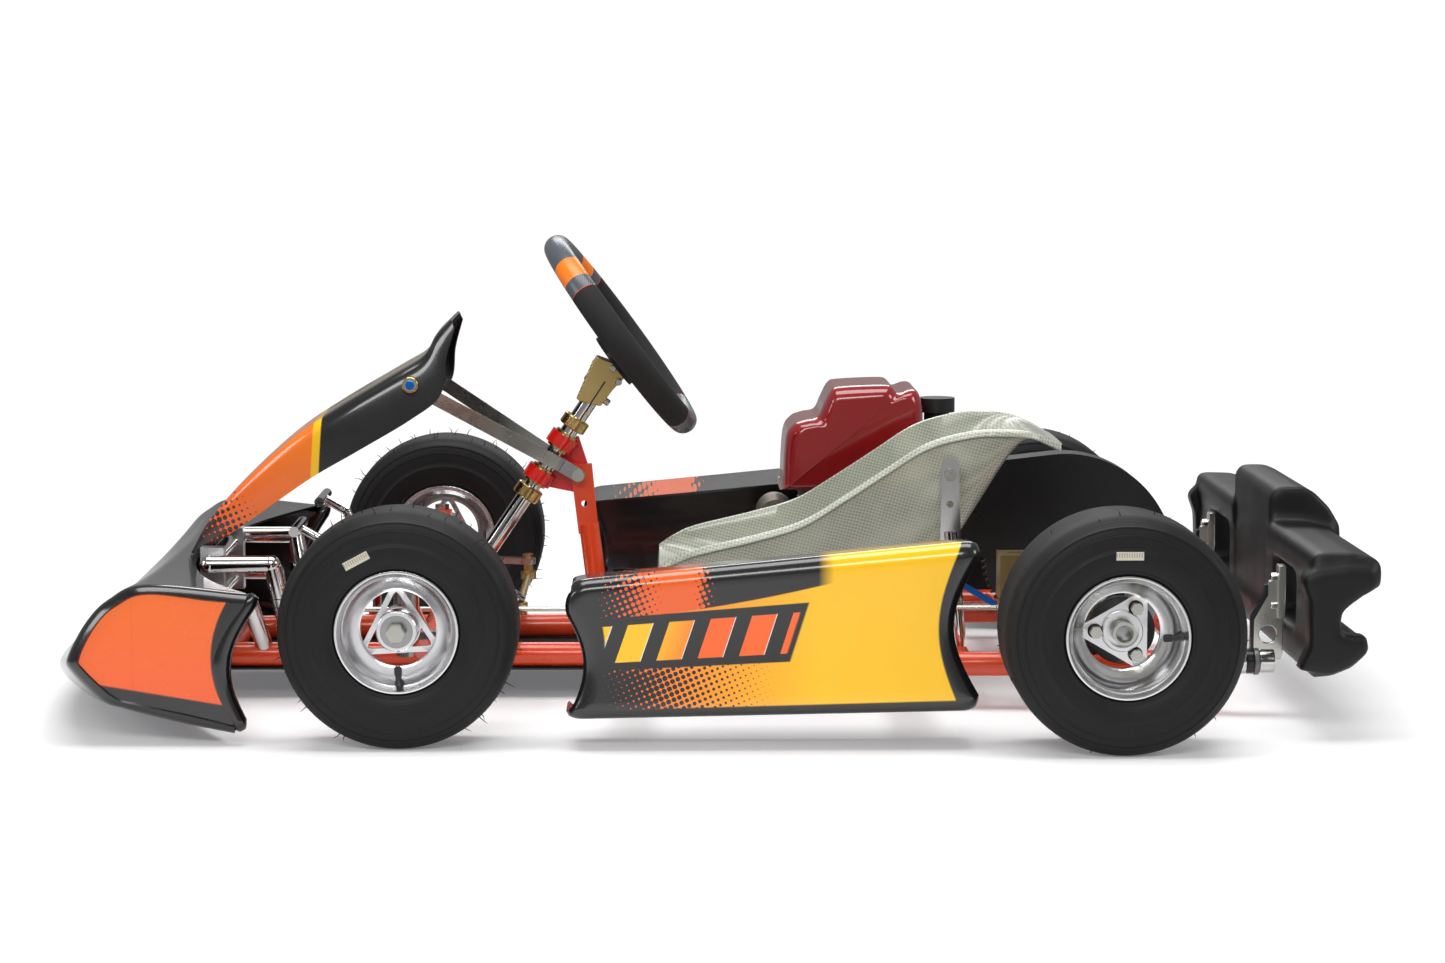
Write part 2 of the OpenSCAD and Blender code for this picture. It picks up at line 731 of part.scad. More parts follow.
module nose_block(inset, back) {
    w = nose_half_w - inset;
    stations = [for (k = [-nose_steps : nose_steps]) w * k / nose_steps];
    loft([for (y = stations)
        let (r = nose_ring(y, inset), t = pow(abs(y) / w, 2.2), mid = -598 + 84 * t)
        concat(r, back > 0 ? [[r[6][0] + back, y, r[6][2]]] : [], [[mid + back, y, 100]],
               back > 0 ? [[r[0][0] + back, y, r[0][2]]] : [])]);
}

module nose_fairing() {
    color(orange_colour) difference() {
        nose_block(0, 0);
        nose_block(panel_t + 1, 60);
        box([-650, -380, 0], [-440, 380, 34]);
    }
}

// The front panel: stations down its middle as x, z, half width and the depth of its folded flanges
panel_rows = [
    [-600, 166, 62, 2], [-580, 201, 74, 26], [-537, 249, 90, 42], [-477, 303, 106, 52],
    [-423, 339, 112, 56], [-360, 376, 108, 56], [-324, 398, 100, 50], [-309, 422, 92, 30], [-292, 440, 84, 12]];

// Down the outside, the panel's surface faces forwards and up
function panel_section(r) =
    let (w = r[2], f = r[3], back = [0.42, -0.9])
    [for (p = [[-1, 1], [-0.99, 0.5], [-0.95, 0.12], [-0.8, 0.02], [0, 0],
               [0.8, 0.02], [0.95, 0.12], [0.99, 0.5], [1, 1]])
        [r[0] + f * p[1] * back[0], w * p[0], r[1] + f * p[1] * back[1]]];

module front_panel() {
    color(orange_colour) difference() {
        thick_sheet([for (i = [len(panel_rows) - 1 : -1 : 0]) panel_section(panel_rows[i])], panel_t);
        bar_y(panel_bolt[0], panel_bolt[1], -130, 130, 4.2);
    }
}

module panel_struts() {
    color(zinc_colour) for (s = sides) difference() {
        union() {
            rod([panel_bolt[0], s * 92, panel_bolt[1]], [bracket_bolt[0], s * 14, bracket_bolt[1]], 4);
            bar_y(panel_bolt[0], panel_bolt[1], s * 94 - 6, s * 94 + 6, 9);
            bar_y(bracket_bolt[0], bracket_bolt[1], s * 14 - 4.5, s * 14 + 4.5, 9);
        }
        bar_y(panel_bolt[0], panel_bolt[1], s * 94 - 9, s * 94 + 9, 4.2);
        bar_y(bracket_bolt[0], bracket_bolt[1], s * 14 - 9, s * 14 + 9, 4.2);
    }
}

seat_bolt = [287, 262];

module body_bolts() {
    color(zinc_colour) for (s = sides) on_side(s) {
        bar_y(panel_bolt[0], panel_bolt[1], 84, 112, 4);
        bar_y(panel_bolt[0], panel_bolt[1], 112, 117, 7);
        bar_y(bracket_bolt[0], bracket_bolt[1], 0.2, 24, 4);
        bar_y(bracket_bolt[0], bracket_bolt[1], 18.7, 24, 7);
        bar_y(seat_bolt[0], seat_bolt[1], 106, 131, 4);
        bar_y(seat_bolt[0], seat_bolt[1], 129.2, 134, 7);
    }
}

// ---- Side pods ------------------------------------------------------------

pod_steps = 14;

// The pod's ends lean and bow: x of the station k of n at the height share h
function pod_end_x(u, h) =
    let (front = -150 + 19 * sin(180 * min(1, h * 1.3)) + (h > 0.9 ? 6 : 0),
         rear = 293 - 27 * sin(180 * min(1, max(0, h * 1.25 - 0.12))))
    front + u * (rear - front);

// A pod's section: y and the share of its height, from the inner top edge round to the inner lower edge
pod_line = [[334, 0.95], [372, 0.985], [410, 1], [432, 0.965], [440, 0.88], [441, 0.6],
            [441, 0.34], [440, 0.12], [434, 0.03], [416, 0], [352, 0]];

function pod_row(u) =
    [for (p = pod_line) let (low = 33 + 8 * u, high = 184 + 42 * u)
        [pod_end_x(u, p[1]), p[0], low + p[1] * (high - low)]];

module side_pod() {
    thick_sheet([for (k = [0 : pod_steps]) pod_row(k / pod_steps)], panel_t);
}

module left_side_pod() { color(yellow_colour) on_side(-1) side_pod(); }
module right_side_pod() { color(yellow_colour) on_side(1) side_pod(); }

pod_bar_y = 404;
pod_bar_z = 56;
pod_bar_r = 10;
leg_x = [-80, 230];

module side_pod_bars() {
    color(chrome_colour) for (s = sides) {
        rod([-112, s * pod_bar_y, pod_bar_z], [262, s * pod_bar_y, pod_bar_z], pod_bar_r);
        for (x = leg_x) {
            inner = s > 0 && x > 100 ? engine_rail_y : rail_y(x);
            rod([x, s * (inner + rail_r - 0.6), 52], [x, s * (pod_bar_y - pod_bar_r - 0.2), pod_bar_z], pod_bar_r);
        }
    }
}

// ---- Seat ----------------------------------------------------------------

// The seat's middle line as x and z, its rim as x and z, and its half width, from the front lip to the back lip
seat_rows = [
    [-50, 147, -50, 151, 92], [0, 126, -4, 172, 104], [70, 96, 66, 190, 106], [140, 73, 118, 206, 104],
    [200, 67, 168, 236, 102], [243, 84, 214, 266, 102], [282, 150, 262, 296, 106], [322, 218, 312, 310, 112],
    [362, 284, 352, 312, 114], [388, 304, 386, 308, 108], [424, 292, 420, 292, 84]];
seat_half = 7;

// Shape across the seat: a share of the half width and of the rise from the middle line to the rim
function seat_across(v) = [sin(90 * abs(v)) * sign(v), pow(abs(v), 3.2)];

function seat_row(r) =
    [for (j = [-seat_half : seat_half]) let (q = seat_across(j / seat_half))
        [r[0] + q[1] * (r[2] - r[0]), r[4] * q[0], r[1] + q[1] * (r[3] - r[1])]];

module seat() {
    color([0.72, 0.75, 0.62]) difference() {
        thick_sheet([for (r = seat_rows) seat_row(r)], seat_t);
        bar_y(seat_bolt[0], seat_bolt[1], -130, 130, 4.2);
    }
}

stay_y = 124;

module seat_stays() {
    color(chrome_colour) for (s = sides) on_side(s) difference() {
        union() {
            rod([300, stay_y + 3, 61], [288, stay_y + 3, 196], 8);
            plate_y(stay_y, stay_y + 5) {
                polygon([[276, 186], [300, 186], [297, 272], [277, 272]]);
                translate([287, 272]) circle(r = 10);
            }
        }
        bar_y(seat_bolt[0], seat_bolt[1], 100, 140, 4.2);
        bar_y(287, 228, 100, 140, 4);
    }
}

// ---- Rear bumper -------------------------------------------------------

bumper_x = [655, 735];

// The bumper seen from behind, one half: beams, end block and the raised middle
module bumper_half() {
    difference() {
        polygon([[0, 66], [400, 66], [402, 90], [402, 188], [392, 204], [300, 206], [150, 208],
                 [128, 244], [0, 248]]);
        for (y = [150, 226]) {
            translate([y + 26, 136]) circle(r = 26);
            translate([y + 40, 136]) circle(r = 26);
            translate([y + 26, 110]) square([14, 52]);
        }
        translate([0, 106]) square([100, 46]);
    }
}

module rear_bumper() {
    wall = 4;
    color(black_colour) difference() {
        union() {
            for (m = sides) on_side(m) rotate([90, 0, 90]) translate([0, 0, bumper_x[0]])
                linear_extrude(height = bumper_x[1] - bumper_x[0]) bumper_half();
            box([bumper_x[0] + 4, -122, 176], [741, 122, 240]);
        }
        for (m = sides) on_side(m) {
            box([bumper_x[0] - 1, 312, 170], [bumper_x[1] - wall, 394, 196]);
            box([bumper_x[0] - 1, 312, 76], [bumper_x[1] - wall, 394, 104]);
            box([bumper_x[0] - 1, 312, 103], [700, 394, 171]);
            box([bumper_x[1] - 28, 306, 116], [bumper_x[1] + 1, 420, 164]);
            box([bumper_x[0] - 1, 134, 171], [bumper_x[1] - wall, 306, 200]);
            box([bumper_x[0] - 1, 6, 74], [bumper_x[1] - wall, 306, 100]);
            box([bumper_x[0] - 1, 4, 162], [bumper_x[1] - wall, 118, 234]);
        }
    }
}

bracket_y = 240;
bracket_hole = [638, 93];

module rear_bumper_brackets() {
    color(zinc_colour) for (s = sides) on_side(s) difference() {
        union() {
            box([632, bracket_y - 3, 36], [654.6, bracket_y + 3, 150]);
            bar_y(bracket_hole[0], bracket_hole[1], bracket_y - 20, bracket_y + 20, 15);
            rod([631, bracket_y + 0.2, 62], [646, bracket_y + 2.6, 62.6], 11);
        }
        bar_y(bracket_hole[0], bracket_hole[1], bracket_y - 22, bracket_y + 22, 10);
    }
}

// ---- Engine ----------------------------------------------------------------

module engine_plate() {
    color(alloy_colour) {
        box([118, 174, 66], [272, 316, 78]);
        for (x = [128, 244]) difference() {
            box([x, 276, rail_z - 20], [x + 24, 324, 66.01]);
            rod([x - 1, engine_rail_y, rail_z], [x + 25, engine_rail_y, rail_z], rail_r + run_gap);
        }
    }
}

module engine_block() {
    color([0.5, 0.5, 0.52]) {
        box([128, 186, 78], [268, 304, 150]);
        bar_y(clutch_at[0], clutch_at[1], 184, 300, 40);
        for (k = [0 : 6]) box([122 + k, 200, 150 + 7 * k], [184 + k, 296, 153.4 + 7 * k]);
        box([134, 206, 149], [178, 290, 200]);
    }
    color(zinc_colour) bar_y(clutch_at[0], clutch_at[1], 144, 190, 7);
}

// The cover's outline in the X-Z plane, with the raised tank lid and a lip behind it
module engine_cover() {
    outline = [[105, 208], [279, 208], [279, 290], [262, 300], [246, 330], [236, 340], [226, 340], [222, 332],
               [160, 332], [148, 322], [142, 296], [112, 288], [105, 276]];
    color([0.62, 0.03, 0.03]) difference() {
        plate_y(182, 324) polygon(outline);
        plate_y(186, 320) polygon([[109, 200], [275, 200], [275, 288], [258, 296], [230, 326], [164, 327],
                                   [152, 318], [146, 292], [116, 284], [109, 274]]);
        box([166, 205, 320], [218, 289, 345]);
        for (k = [0 : 5]) box([112, 190 + 22 * k, 222], [160, 198 + 22 * k, 262]);
    }
    color([0.62, 0.03, 0.03]) for (k = [0 : 6])
        box([166 + 7.4 * k, 204, 326], [168.6 + 7.4 * k, 290, 331]);
}

module fuel_cap() {
    color(black_colour) {
        translate([302, 250, 300]) cylinder(h = 18, r = 23);
        translate([302, 250, 262]) cylinder(h = 38, r = 16);
        box([279.2, 240, 268], [300, 260, 284]);
    }
}

module exhaust_muffler() {
    color(zinc_colour) {
        rod([98, 214, 168], [98, 300, 168], 24);
        rod([104, 250, 168], [120, 250, 168], 9);
    }
}

module clutch_drum() {
    at = [clutch_at[0], 0, clutch_at[1]];
    color(zinc_colour) translate(at) rotate([-90, 0, 0]) difference() {
        union() {
            translate([0, 0, 157]) cylinder(h = 20, r = 39);
            translate([0, 0, sprocket_y - 2]) linear_extrude(height = 4) tooth_wheel(clutch_teeth, clutch_r);
            translate([0, 0, sprocket_y + 1]) cylinder(h = 8, r = 9.6);
        }
        translate([0, 0, 140]) cylinder(h = 60, r = 7 + run_gap);
        translate([0, 0, 161]) cylinder(h = 30, r = 35);
    }
}

// ---- Chain and guard -----------------------------------------------------

axle_at = [rear_x, axle_z];
link_h = 3.6;

module chain_band() {
    difference() {
        belt_shape(axle_at, sprocket_r + link_h, clutch_at, clutch_r + link_h);
        belt_shape(axle_at, sprocket_r - link_h, clutch_at, clutch_r - link_h);
    }
}

// Two bands of side plates, joined by pins along the two straight runs
module drive_chain() {
    d = norm(clutch_at - axle_at);
    dir = (clutch_at - axle_at) / d;
    c = (sprocket_r - clutch_r) / d;
    s = sqrt(1 - c * c);
    run = d * s;
    color([0.1, 0.25, 0.6]) {
        plate_y(sprocket_y - 5, sprocket_y - 2.7) chain_band();
        plate_y(sprocket_y + 2.7, sprocket_y + 5) chain_band();
        for (h = [-1, 1]) {
            n = c * dir + h * s * [-dir[1], dir[0]];
            along = s * dir - h * c * [-dir[1], dir[0]];
            for (t = [36 : 2 * chain_pitch : run - 20]) {
                p = axle_at + sprocket_r * n + t * along;
                bar_y(p[0], p[1], sprocket_y - 4, sprocket_y + 4, 1.7);
            }
        }
    }
}

guard_at = [rear_x + 8, axle_z - 8];

module guard_shape(inset) {
    belt_shape(guard_at, 137 - inset, clutch_at, 52 - inset);
}

module chain_guard() {
    color(black_colour) difference() {
        union() {
            plate_y(136, 181) guard_shape(0);
            box([guard_at[0] - 7, 178, 246], [guard_at[0] + 7, 188, 257]);
        }
        plate_y(139, 177.9) guard_shape(3);
        plate_y(177.8, 184) guard_shape(14);
        plate_y(183.9, 200) guard_shape(16);
        plate_y(100, 200) polygon([[140, -40], [600, -40], [600, 128], [430, 128], [245, 132], [140, 150]]);
        bar_y(rear_x, axle_z, 130, 145, 34);
        bar_y(clutch_at[0], clutch_at[1], 130, 145, 16);
    }
}

left_frame_rail();
right_frame_rail();
frame_cross_tubes();
steering_yokes();
kingpins();
column_upright();
column_bracket();
column_bushes();
floor_tray();
front_bumper_bars();
nose_fairing();
nose_clamps();
front_panel();
panel_struts();
body_bolts();
left_side_pod();
right_side_pod();
side_pod_bars();
seat();
seat_stays();
rear_bumper();
rear_bumper_brackets();
bearing_carriers();
axle_bearings();
brake_caliper();
engine_plate();
engine_block();
engine_cover();
fuel_cap();
exhaust_muffler();
chain_guard();
drive_chain();
pedal_mounts();
steering_column();
steering_boss();
wheel_spoke_plate();
wheel_rim();
left_stub_axle();
right_stub_axle();
left_tie_rod();
right_tie_rod();
left_front_rim();
right_front_rim();
left_front_tyre();
right_front_tyre();
left_front_bearings();
right_front_bearings();
rear_axle();
rear_hubs();
rear_rims();
rear_tyres();
axle_sprocket();
brake_disc();
rear_wheel_bolts();
clutch_drum();
brake_pedal();
brake_rod();
caliper_lever();
throttle_pedal();
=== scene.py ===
import json
import math

import bpy
import numpy as np
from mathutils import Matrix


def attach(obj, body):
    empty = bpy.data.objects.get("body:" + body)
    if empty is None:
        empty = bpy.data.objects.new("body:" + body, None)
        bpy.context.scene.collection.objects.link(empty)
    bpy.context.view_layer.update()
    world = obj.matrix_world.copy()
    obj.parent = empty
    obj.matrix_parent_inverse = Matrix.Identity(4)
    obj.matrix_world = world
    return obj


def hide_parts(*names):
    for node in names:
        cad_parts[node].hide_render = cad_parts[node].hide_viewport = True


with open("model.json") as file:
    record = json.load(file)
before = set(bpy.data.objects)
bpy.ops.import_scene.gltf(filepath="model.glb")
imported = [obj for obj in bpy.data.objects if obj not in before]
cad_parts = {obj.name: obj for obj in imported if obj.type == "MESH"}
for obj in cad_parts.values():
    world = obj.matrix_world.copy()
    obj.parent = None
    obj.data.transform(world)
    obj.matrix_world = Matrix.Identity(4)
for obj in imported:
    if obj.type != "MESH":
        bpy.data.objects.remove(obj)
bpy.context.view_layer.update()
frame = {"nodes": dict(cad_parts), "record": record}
nodes = frame["nodes"]
rng = np.random.default_rng(11)
mm = 0.001

# Camera: a long lens, level with the seat and looking slightly down at the kart's left side
view = {"place": (-0.046, -3.920, 0.693), "down": 6.59, "turn": 1.05, "lens": 82.3}
cameraData = bpy.data.cameras.new("camera")
cameraData.lens = view["lens"]
cameraData.sensor_width = 36
camera = bpy.data.objects.new("camera", cameraData)
camera.location = view["place"]
camera.rotation_euler = (math.radians(90 - view["down"]), 0, math.radians(-view["turn"]))
bpy.context.scene.collection.objects.link(camera)
bpy.context.scene.camera = camera


# Shader helpers

def addNode(tree, kind, values=None, **settings):
    made = tree.nodes.new(kind)
    for key, value in settings.items():
        setattr(made, key, value)
    for key, value in (values or {}).items():
        plug(tree, value, made.inputs[key])
    return made


def plug(tree, value, socket):
    if isinstance(value, wire):
        value = value.socket
    if isinstance(value, bpy.types.NodeSocket):
        tree.links.new(value, socket)
    elif isinstance(value, (tuple, list)) and len(value) == 3 and socket.type == "RGBA":
        socket.default_value = (*value, 1)
    else:
        socket.default_value = value


def calc(tree, operation, *values, clamp=False):
    made = tree.nodes.new("ShaderNodeMath")
    made.operation = operation
    made.use_clamp = clamp
    for i, value in enumerate(values):
        plug(tree, value, made.inputs[i])
    return output(made)


# A node's output that takes plain arithmetic: each sign becomes one Math node
class wire:
    def __init__(self, tree, socket):
        self.tree, self.socket = tree, socket

    def __add__(self, other):
        return calc(self.tree, "ADD", self, other)

    def __radd__(self, other):
        return calc(self.tree, "ADD", other, self)

    def __sub__(self, other):
        return calc(self.tree, "SUBTRACT", self, other)

    def __rsub__(self, other):
        return calc(self.tree, "SUBTRACT", other, self)

    def __mul__(self, other):
        return calc(self.tree, "MULTIPLY", self, other)

    def __truediv__(self, other):
        return calc(self.tree, "DIVIDE", self, other)

    def __pow__(self, other):
        return calc(self.tree, "POWER", self, other)

    def __lt__(self, other):
        return calc(self.tree, "LESS_THAN", self, other)

    def __gt__(self, other):
        return calc(self.tree, "GREATER_THAN", self, other)

    def __abs__(self):
        return calc(self.tree, "ABSOLUTE", self)


def output(node, key=0):
    return wire(node.id_data, node.outputs[key])


def sine(value):
    return calc(value.tree, "SINE", value)


def root(value):
    return calc(value.tree, "SQRT", value)


def fract(value):
    return calc(value.tree, "FRACT", value)


# A soft step: 0 below low, 1 above high
def rise(value, low, high):
    return output(addNode(value.tree, "ShaderNodeMapRange",
                          {"Value": value, "From Min": low, "From Max": high}))


def mixColour(mask, first, second):
    made = addNode(mask.tree, "ShaderNodeMix", data_type="RGBA")
    for place, value in ((0, mask), (6, first), (7, second)):
        plug(mask.tree, value, made.inputs[place])
    return output(made, 2)


def objectXyz(tree):
    place = output(tree.nodes.new("ShaderNodeTexCoord"), "Object")
    parts = addNode(tree, "ShaderNodeSeparateXYZ", {0: place})
    return place, output(parts), output(parts, 1), output(parts, 2)


def newGroup(name, inputs, outputs):
    tree = bpy.data.node_groups.new(name, "ShaderNodeTree")
    for label, kind, value in inputs:
        made = tree.interface.new_socket(label, in_out="INPUT", socket_type=kind)
        if value is not None:
            made.default_value = value
    for label, kind in outputs:
        tree.interface.new_socket(label, in_out="OUTPUT", socket_type=kind)
    return tree, tree.nodes.new("NodeGroupInput"), tree.nodes.new("NodeGroupOutput")


# Grain: fine noise for the bump and broad noise for smudges in the gloss
def makeGrain():
    tree, source, sink = newGroup(
        "grain",
        [("Vector", "NodeSocketVector", None), ("Scale", "NodeSocketFloat", 900.0),
         ("Smudge Scale", "NodeSocketFloat", 14.0), ("Roughness", "NodeSocketFloat", 0.4),
         ("Spread", "NodeSocketFloat", 0.12)],
        [("Height", "NodeSocketFloat"), ("Roughness", "NodeSocketFloat"), ("Smudge", "NodeSocketFloat")])
    fine = addNode(tree, "ShaderNodeTexNoise",
                   {"Vector": output(source, "Vector"), "Scale": output(source, "Scale"), "Detail": 3.0})
    broad = addNode(tree, "ShaderNodeTexNoise",
                    {"Vector": output(source, "Vector"), "Scale": output(source, "Smudge Scale"), "Detail": 5.0,
                     "Roughness": 0.6})
    shift = (output(broad) - 0.5) * output(source, "Spread")
    plug(tree, output(fine), sink.inputs["Height"])
    plug(tree, calc(tree, "ADD", output(source, "Roughness"), shift * 2.0, clamp=True),
         sink.inputs["Roughness"])
    plug(tree, output(broad), sink.inputs["Smudge"])
    return tree


# Halftone: round dots on a turned square grid, whose radius follows Size
def makeHalftone():
    tree, source, sink = newGroup(
        "halftone",
        [("Across", "NodeSocketFloat", None), ("Up", "NodeSocketFloat", None),
         ("Cell", "NodeSocketFloat", 0.005), ("Size", "NodeSocketFloat", 0.5)],
        [("Mask", "NodeSocketFloat")])
    across, up = (output(source, "Across"), output(source, "Up"))
    legs = []
    for sign in (1, -1):
        turned = across * (0.92 if sign > 0 else -0.39) + up * (0.39 if sign > 0 else 0.92)
        cell = fract(turned / output(source, "Cell") + 400.0)
        legs.append((cell - 0.5) ** 2.0)
    away = root(legs[0] + legs[1])
    room = output(source, "Size") * 0.72 - away
    plug(tree, rise(room, -0.03, 0.03), sink.inputs["Mask"])
    return tree


grain = makeGrain()
halftone = makeHalftone()


def placeGroup(tree, group, values):
    made = tree.nodes.new("ShaderNodeGroup")
    made.node_tree = group
    for key, value in values.items():
        plug(tree, value, made.inputs[key])
    return made


def newMaterial(name, **fixed):
    material = bpy.data.materials.new(name)
    material.use_nodes = True
    tree = material.node_tree
    shader = tree.nodes["Principled BSDF"]
    for key, value in fixed.items():
        plug(tree, value, shader.inputs[key.replace("_", " ")])
    return material, tree, shader


# A finish with grain in its bump, smudges in its gloss and a colour that drifts a little
def plainFinish(name, colour, roughness, metallic=0.0, scale=900.0, bump=0.15, spread=0.1, drift=0.12, **fixed):
    material, tree, shader = newMaterial(name, Metallic=metallic, **fixed)
    place = objectXyz(tree)[0]
    made = placeGroup(tree, grain, {"Vector": place, "Scale": scale, "Roughness": roughness, "Spread": spread})
    darker = tuple(c * (1 - drift) for c in colour)
    plug(tree, mixColour(output(made, "Smudge"), darker, colour), shader.inputs["Base Color"])
    plug(tree, output(made, "Roughness"), shader.inputs["Roughness"])
    rough = addNode(tree, "ShaderNodeBump",
                    {"Height": output(made, "Height"), "Strength": bump, "Distance": 0.0004})
    plug(tree, output(rough), shader.inputs["Normal"])
    return material


colours = {
    "frame": (0.80, 0.060, 0.006), "orange": (0.95, 0.13, 0.008), "deepOrange": (0.87, 0.055, 0.008),
    "yellow": (1.0, 0.56, 0.0), "black": (0.006, 0.006, 0.007), "white": (0.8, 0.8, 0.8),
}

finishes = {
    "frame_orange": plainFinish("powderCoat", colours["frame"], 0.3, scale=1400, bump=0.12, Coat_Weight=0.5,
                                Coat_Roughness=0.12),
    "chrome": plainFinish("chromeTube", (0.72, 0.71, 0.70), 0.09, 1.0, bump=0.02, spread=0.06),
    "zinc": plainFinish("zincPlate", (0.58, 0.57, 0.52), 0.28, 1.0, scale=500, bump=0.12, spread=0.2),
    "steel": plainFinish("machinedSteel", (0.42, 0.42, 0.42), 0.25, 1.0, bump=0.08),
    "red_paint": plainFinish("redBracket", (0.75, 0.012, 0.006), 0.25, bump=0.08, Coat_Weight=0.6,
                             Coat_Roughness=0.08),
    "brass": plainFinish("brassBush", (0.62, 0.44, 0.16), 0.26, 1.0, scale=600, bump=0.1, spread=0.2),
    "gold_anodised": plainFinish("goldAnodised", (0.58, 0.42, 0.17), 0.33, 1.0, scale=1500, bump=0.12),
    "aluminium": plainFinish("satinAluminium", (0.68, 0.68, 0.7), 0.34, 1.0, scale=700, bump=0.15, spread=0.2),
    "tray_black": plainFinish("trayBlack", (0.02, 0.02, 0.022), 0.5, bump=0.2),
    "bumper_black": plainFinish("mouldedBlack", (0.004, 0.004, 0.005), 0.4, scale=1900, bump=0.4, spread=0.1,
                                Specular_IOR_Level=0.36),
    "guard_black": plainFinish("guardBlack", (0.008, 0.008, 0.009), 0.3, scale=1200, bump=0.2, spread=0.1),
    "carrier_black": plainFinish("castBlack", (0.010, 0.010, 0.011), 0.4, scale=900, bump=0.3),
    "engine_metal": plainFinish("castAlloy", (0.22, 0.22, 0.225), 0.5, 0.8, scale=450, bump=0.6, spread=0.2),
    "cap_black": plainFinish("capBlack", (0.010, 0.010, 0.010), 0.42, scale=1500, bump=0.3),
    "muffler_metal": plainFinish("heatedSteel", (0.36, 0.32, 0.27), 0.38, 1.0, scale=300, bump=0.2, spread=0.3),
    "chain_blue": plainFinish("blueChain", (0.01, 0.16, 0.62), 0.3, 0.7, bump=0.1),
    "spoke_black": plainFinish("blackAnodised", (0.012, 0.012, 0.014), 0.35, 0.6, bump=0.1),
    "disc_steel": plainFinish("groundDisc", (0.5, 0.5, 0.5), 0.3, 1.0, scale=350, bump=0.2, spread=0.2),
    "engine_red": plainFinish("redCover", (0.30, 0.006, 0.008), 0.2, bump=0.04, Coat_Weight=0.8,
                              Coat_Roughness=0.05),
}


# Mesh helpers

# A grid of points becomes quads; either direction may close on itself
def gridFaces(rows, columns, closeRows=False, closeColumns=False):
    i = np.arange(rows if closeRows else rows - 1)
    j = np.arange(columns if closeColumns else columns - 1)
    a, b = np.meshgrid(i, j, indexing="ij")
    nextA, nextB = (a + 1) % rows, (b + 1) % columns
    corners = [a * columns + b, a * columns + nextB, nextA * columns + nextB, nextA * columns + b]
    return np.stack([c.ravel() for c in corners], 1)


class shapeList:
    def __init__(self):
        self.points, self.faces, self.count = [], [], 0

    def add(self, points, faces):
        points = np.asarray(points, float).reshape(-1, 3)
        self.points.append(points)
        self.faces += [[int(v) + self.count for v in face] for face in faces]
        self.count += len(points)

    def all(self):
        return np.concatenate(self.points), self.faces


def makePiece(name, points, faces, material, body, replaced=(), smooth=40, recalc=True, inner=None):
    mesh = bpy.data.meshes.new(name)
    mesh.from_pydata(np.asarray(points, float).reshape(-1, 3).tolist(), [], [list(map(int, f)) for f in faces])
    mesh.validate()
    mesh.update()
    piece = bpy.data.objects.new(name, mesh)
    bpy.context.scene.collection.objects.link(piece)
    bpy.context.view_layer.objects.active = piece
    piece.select_set(True)
    if recalc:
        bpy.ops.object.mode_set(mode="EDIT")
        bpy.ops.mesh.select_all(action="SELECT")
        bpy.ops.mesh.normals_make_consistent(inside=False)
        bpy.ops.object.mode_set(mode="OBJECT")
    bpy.ops.object.shade_smooth_by_angle(angle=math.radians(smooth))
    piece.select_set(False)
    mesh.materials.append(material)
    if inner:
        # The back skin and the rim of a sheet are the faces from the given one on
        mesh.materials.append(inner[0])
        index = np.zeros(len(mesh.polygons), np.int32)
        index[inner[1]:] = 1
        mesh.polygons.foreach_set("material_index", index)
    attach(piece, body)
    if replaced:
        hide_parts(*replaced)
    return piece


# Smooth points through a few chosen ones: a Catmull-Rom curve, evenly spaced in its parameter
def smoothLine(points, count, closed=False):
    p = np.asarray(points, float)
    n = len(p)
    t = np.linspace(0, n if closed else n - 1, count, endpoint=not closed)
    k = np.minimum(t.astype(int), n - 1 if closed else n - 2)
    f = (t - k)[:, None]
    if closed:
        a, b, c, d = p[(k - 1) % n], p[k % n], p[(k + 1) % n], p[(k + 2) % n]
    else:
        a = np.where((k > 0)[:, None], p[np.maximum(k - 1, 0)], 2 * p[0] - p[1])
        b, c = p[k], p[k + 1]
        d = np.where((k < n - 2)[:, None], p[np.minimum(k + 2, n - 1)], 2 * p[-1] - p[-2])
    return 0.5 * (2 * b + (c - a) * f + (2 * a - 5 * b + 4 * c - d) * f ** 2 + (3 * b - a - 3 * c + d) * f ** 3)


# A closed outline of (radius, along) turned about the Y line through the wheel's middle
def spin(profile, middle, steps, side=1):
    profile = np.asarray(profile, float) * mm
    turn = np.linspace(0, 2 * math.pi, steps, endpoint=False)
    r, h = profile[None, :, 0], profile[None, :, 1]
    points = np.stack([middle[0] + r * np.cos(turn)[:, None],
                       middle[1] + side * h + 0 * turn[:, None],
                       middle[2] + r * np.sin(turn)[:, None]], -1)
    return points, gridFaces(steps, profile.shape[0], True, True)


print("stage: helpers ready")

# Wheels

corners = {
    "left_front": {"x": -330, "y": -390, "width": 100, "body": "left_front_wheel", "tyre": "left_front_tyre",
                   "rim": "left_front_rim", "label": 118, "valve": 272},
    "right_front": {"x": -330, "y": 390, "width": 100, "body": "right_front_wheel", "tyre": "right_front_tyre",
                    "rim": "right_front_rim", "label": 60, "valve": 200},
    "left_rear": {"x": 445, "y": -430, "width": 125, "body": "rear_wheels", "tyre": "rear_tyres",
                  "rim": "rear_rims", "label": 90, "valve": 0},
    "right_rear": {"x": 445, "y": 430, "width": 125, "body": "rear_wheels", "tyre": None,
                   "rim": None, "label": 40, "valve": 120},
}
wheelHeight = 129
tyre = {"steps": 192, "hairs": {"front": 74, "rear": 34}, "hairLength": {"front": 12, "rear": 6}}


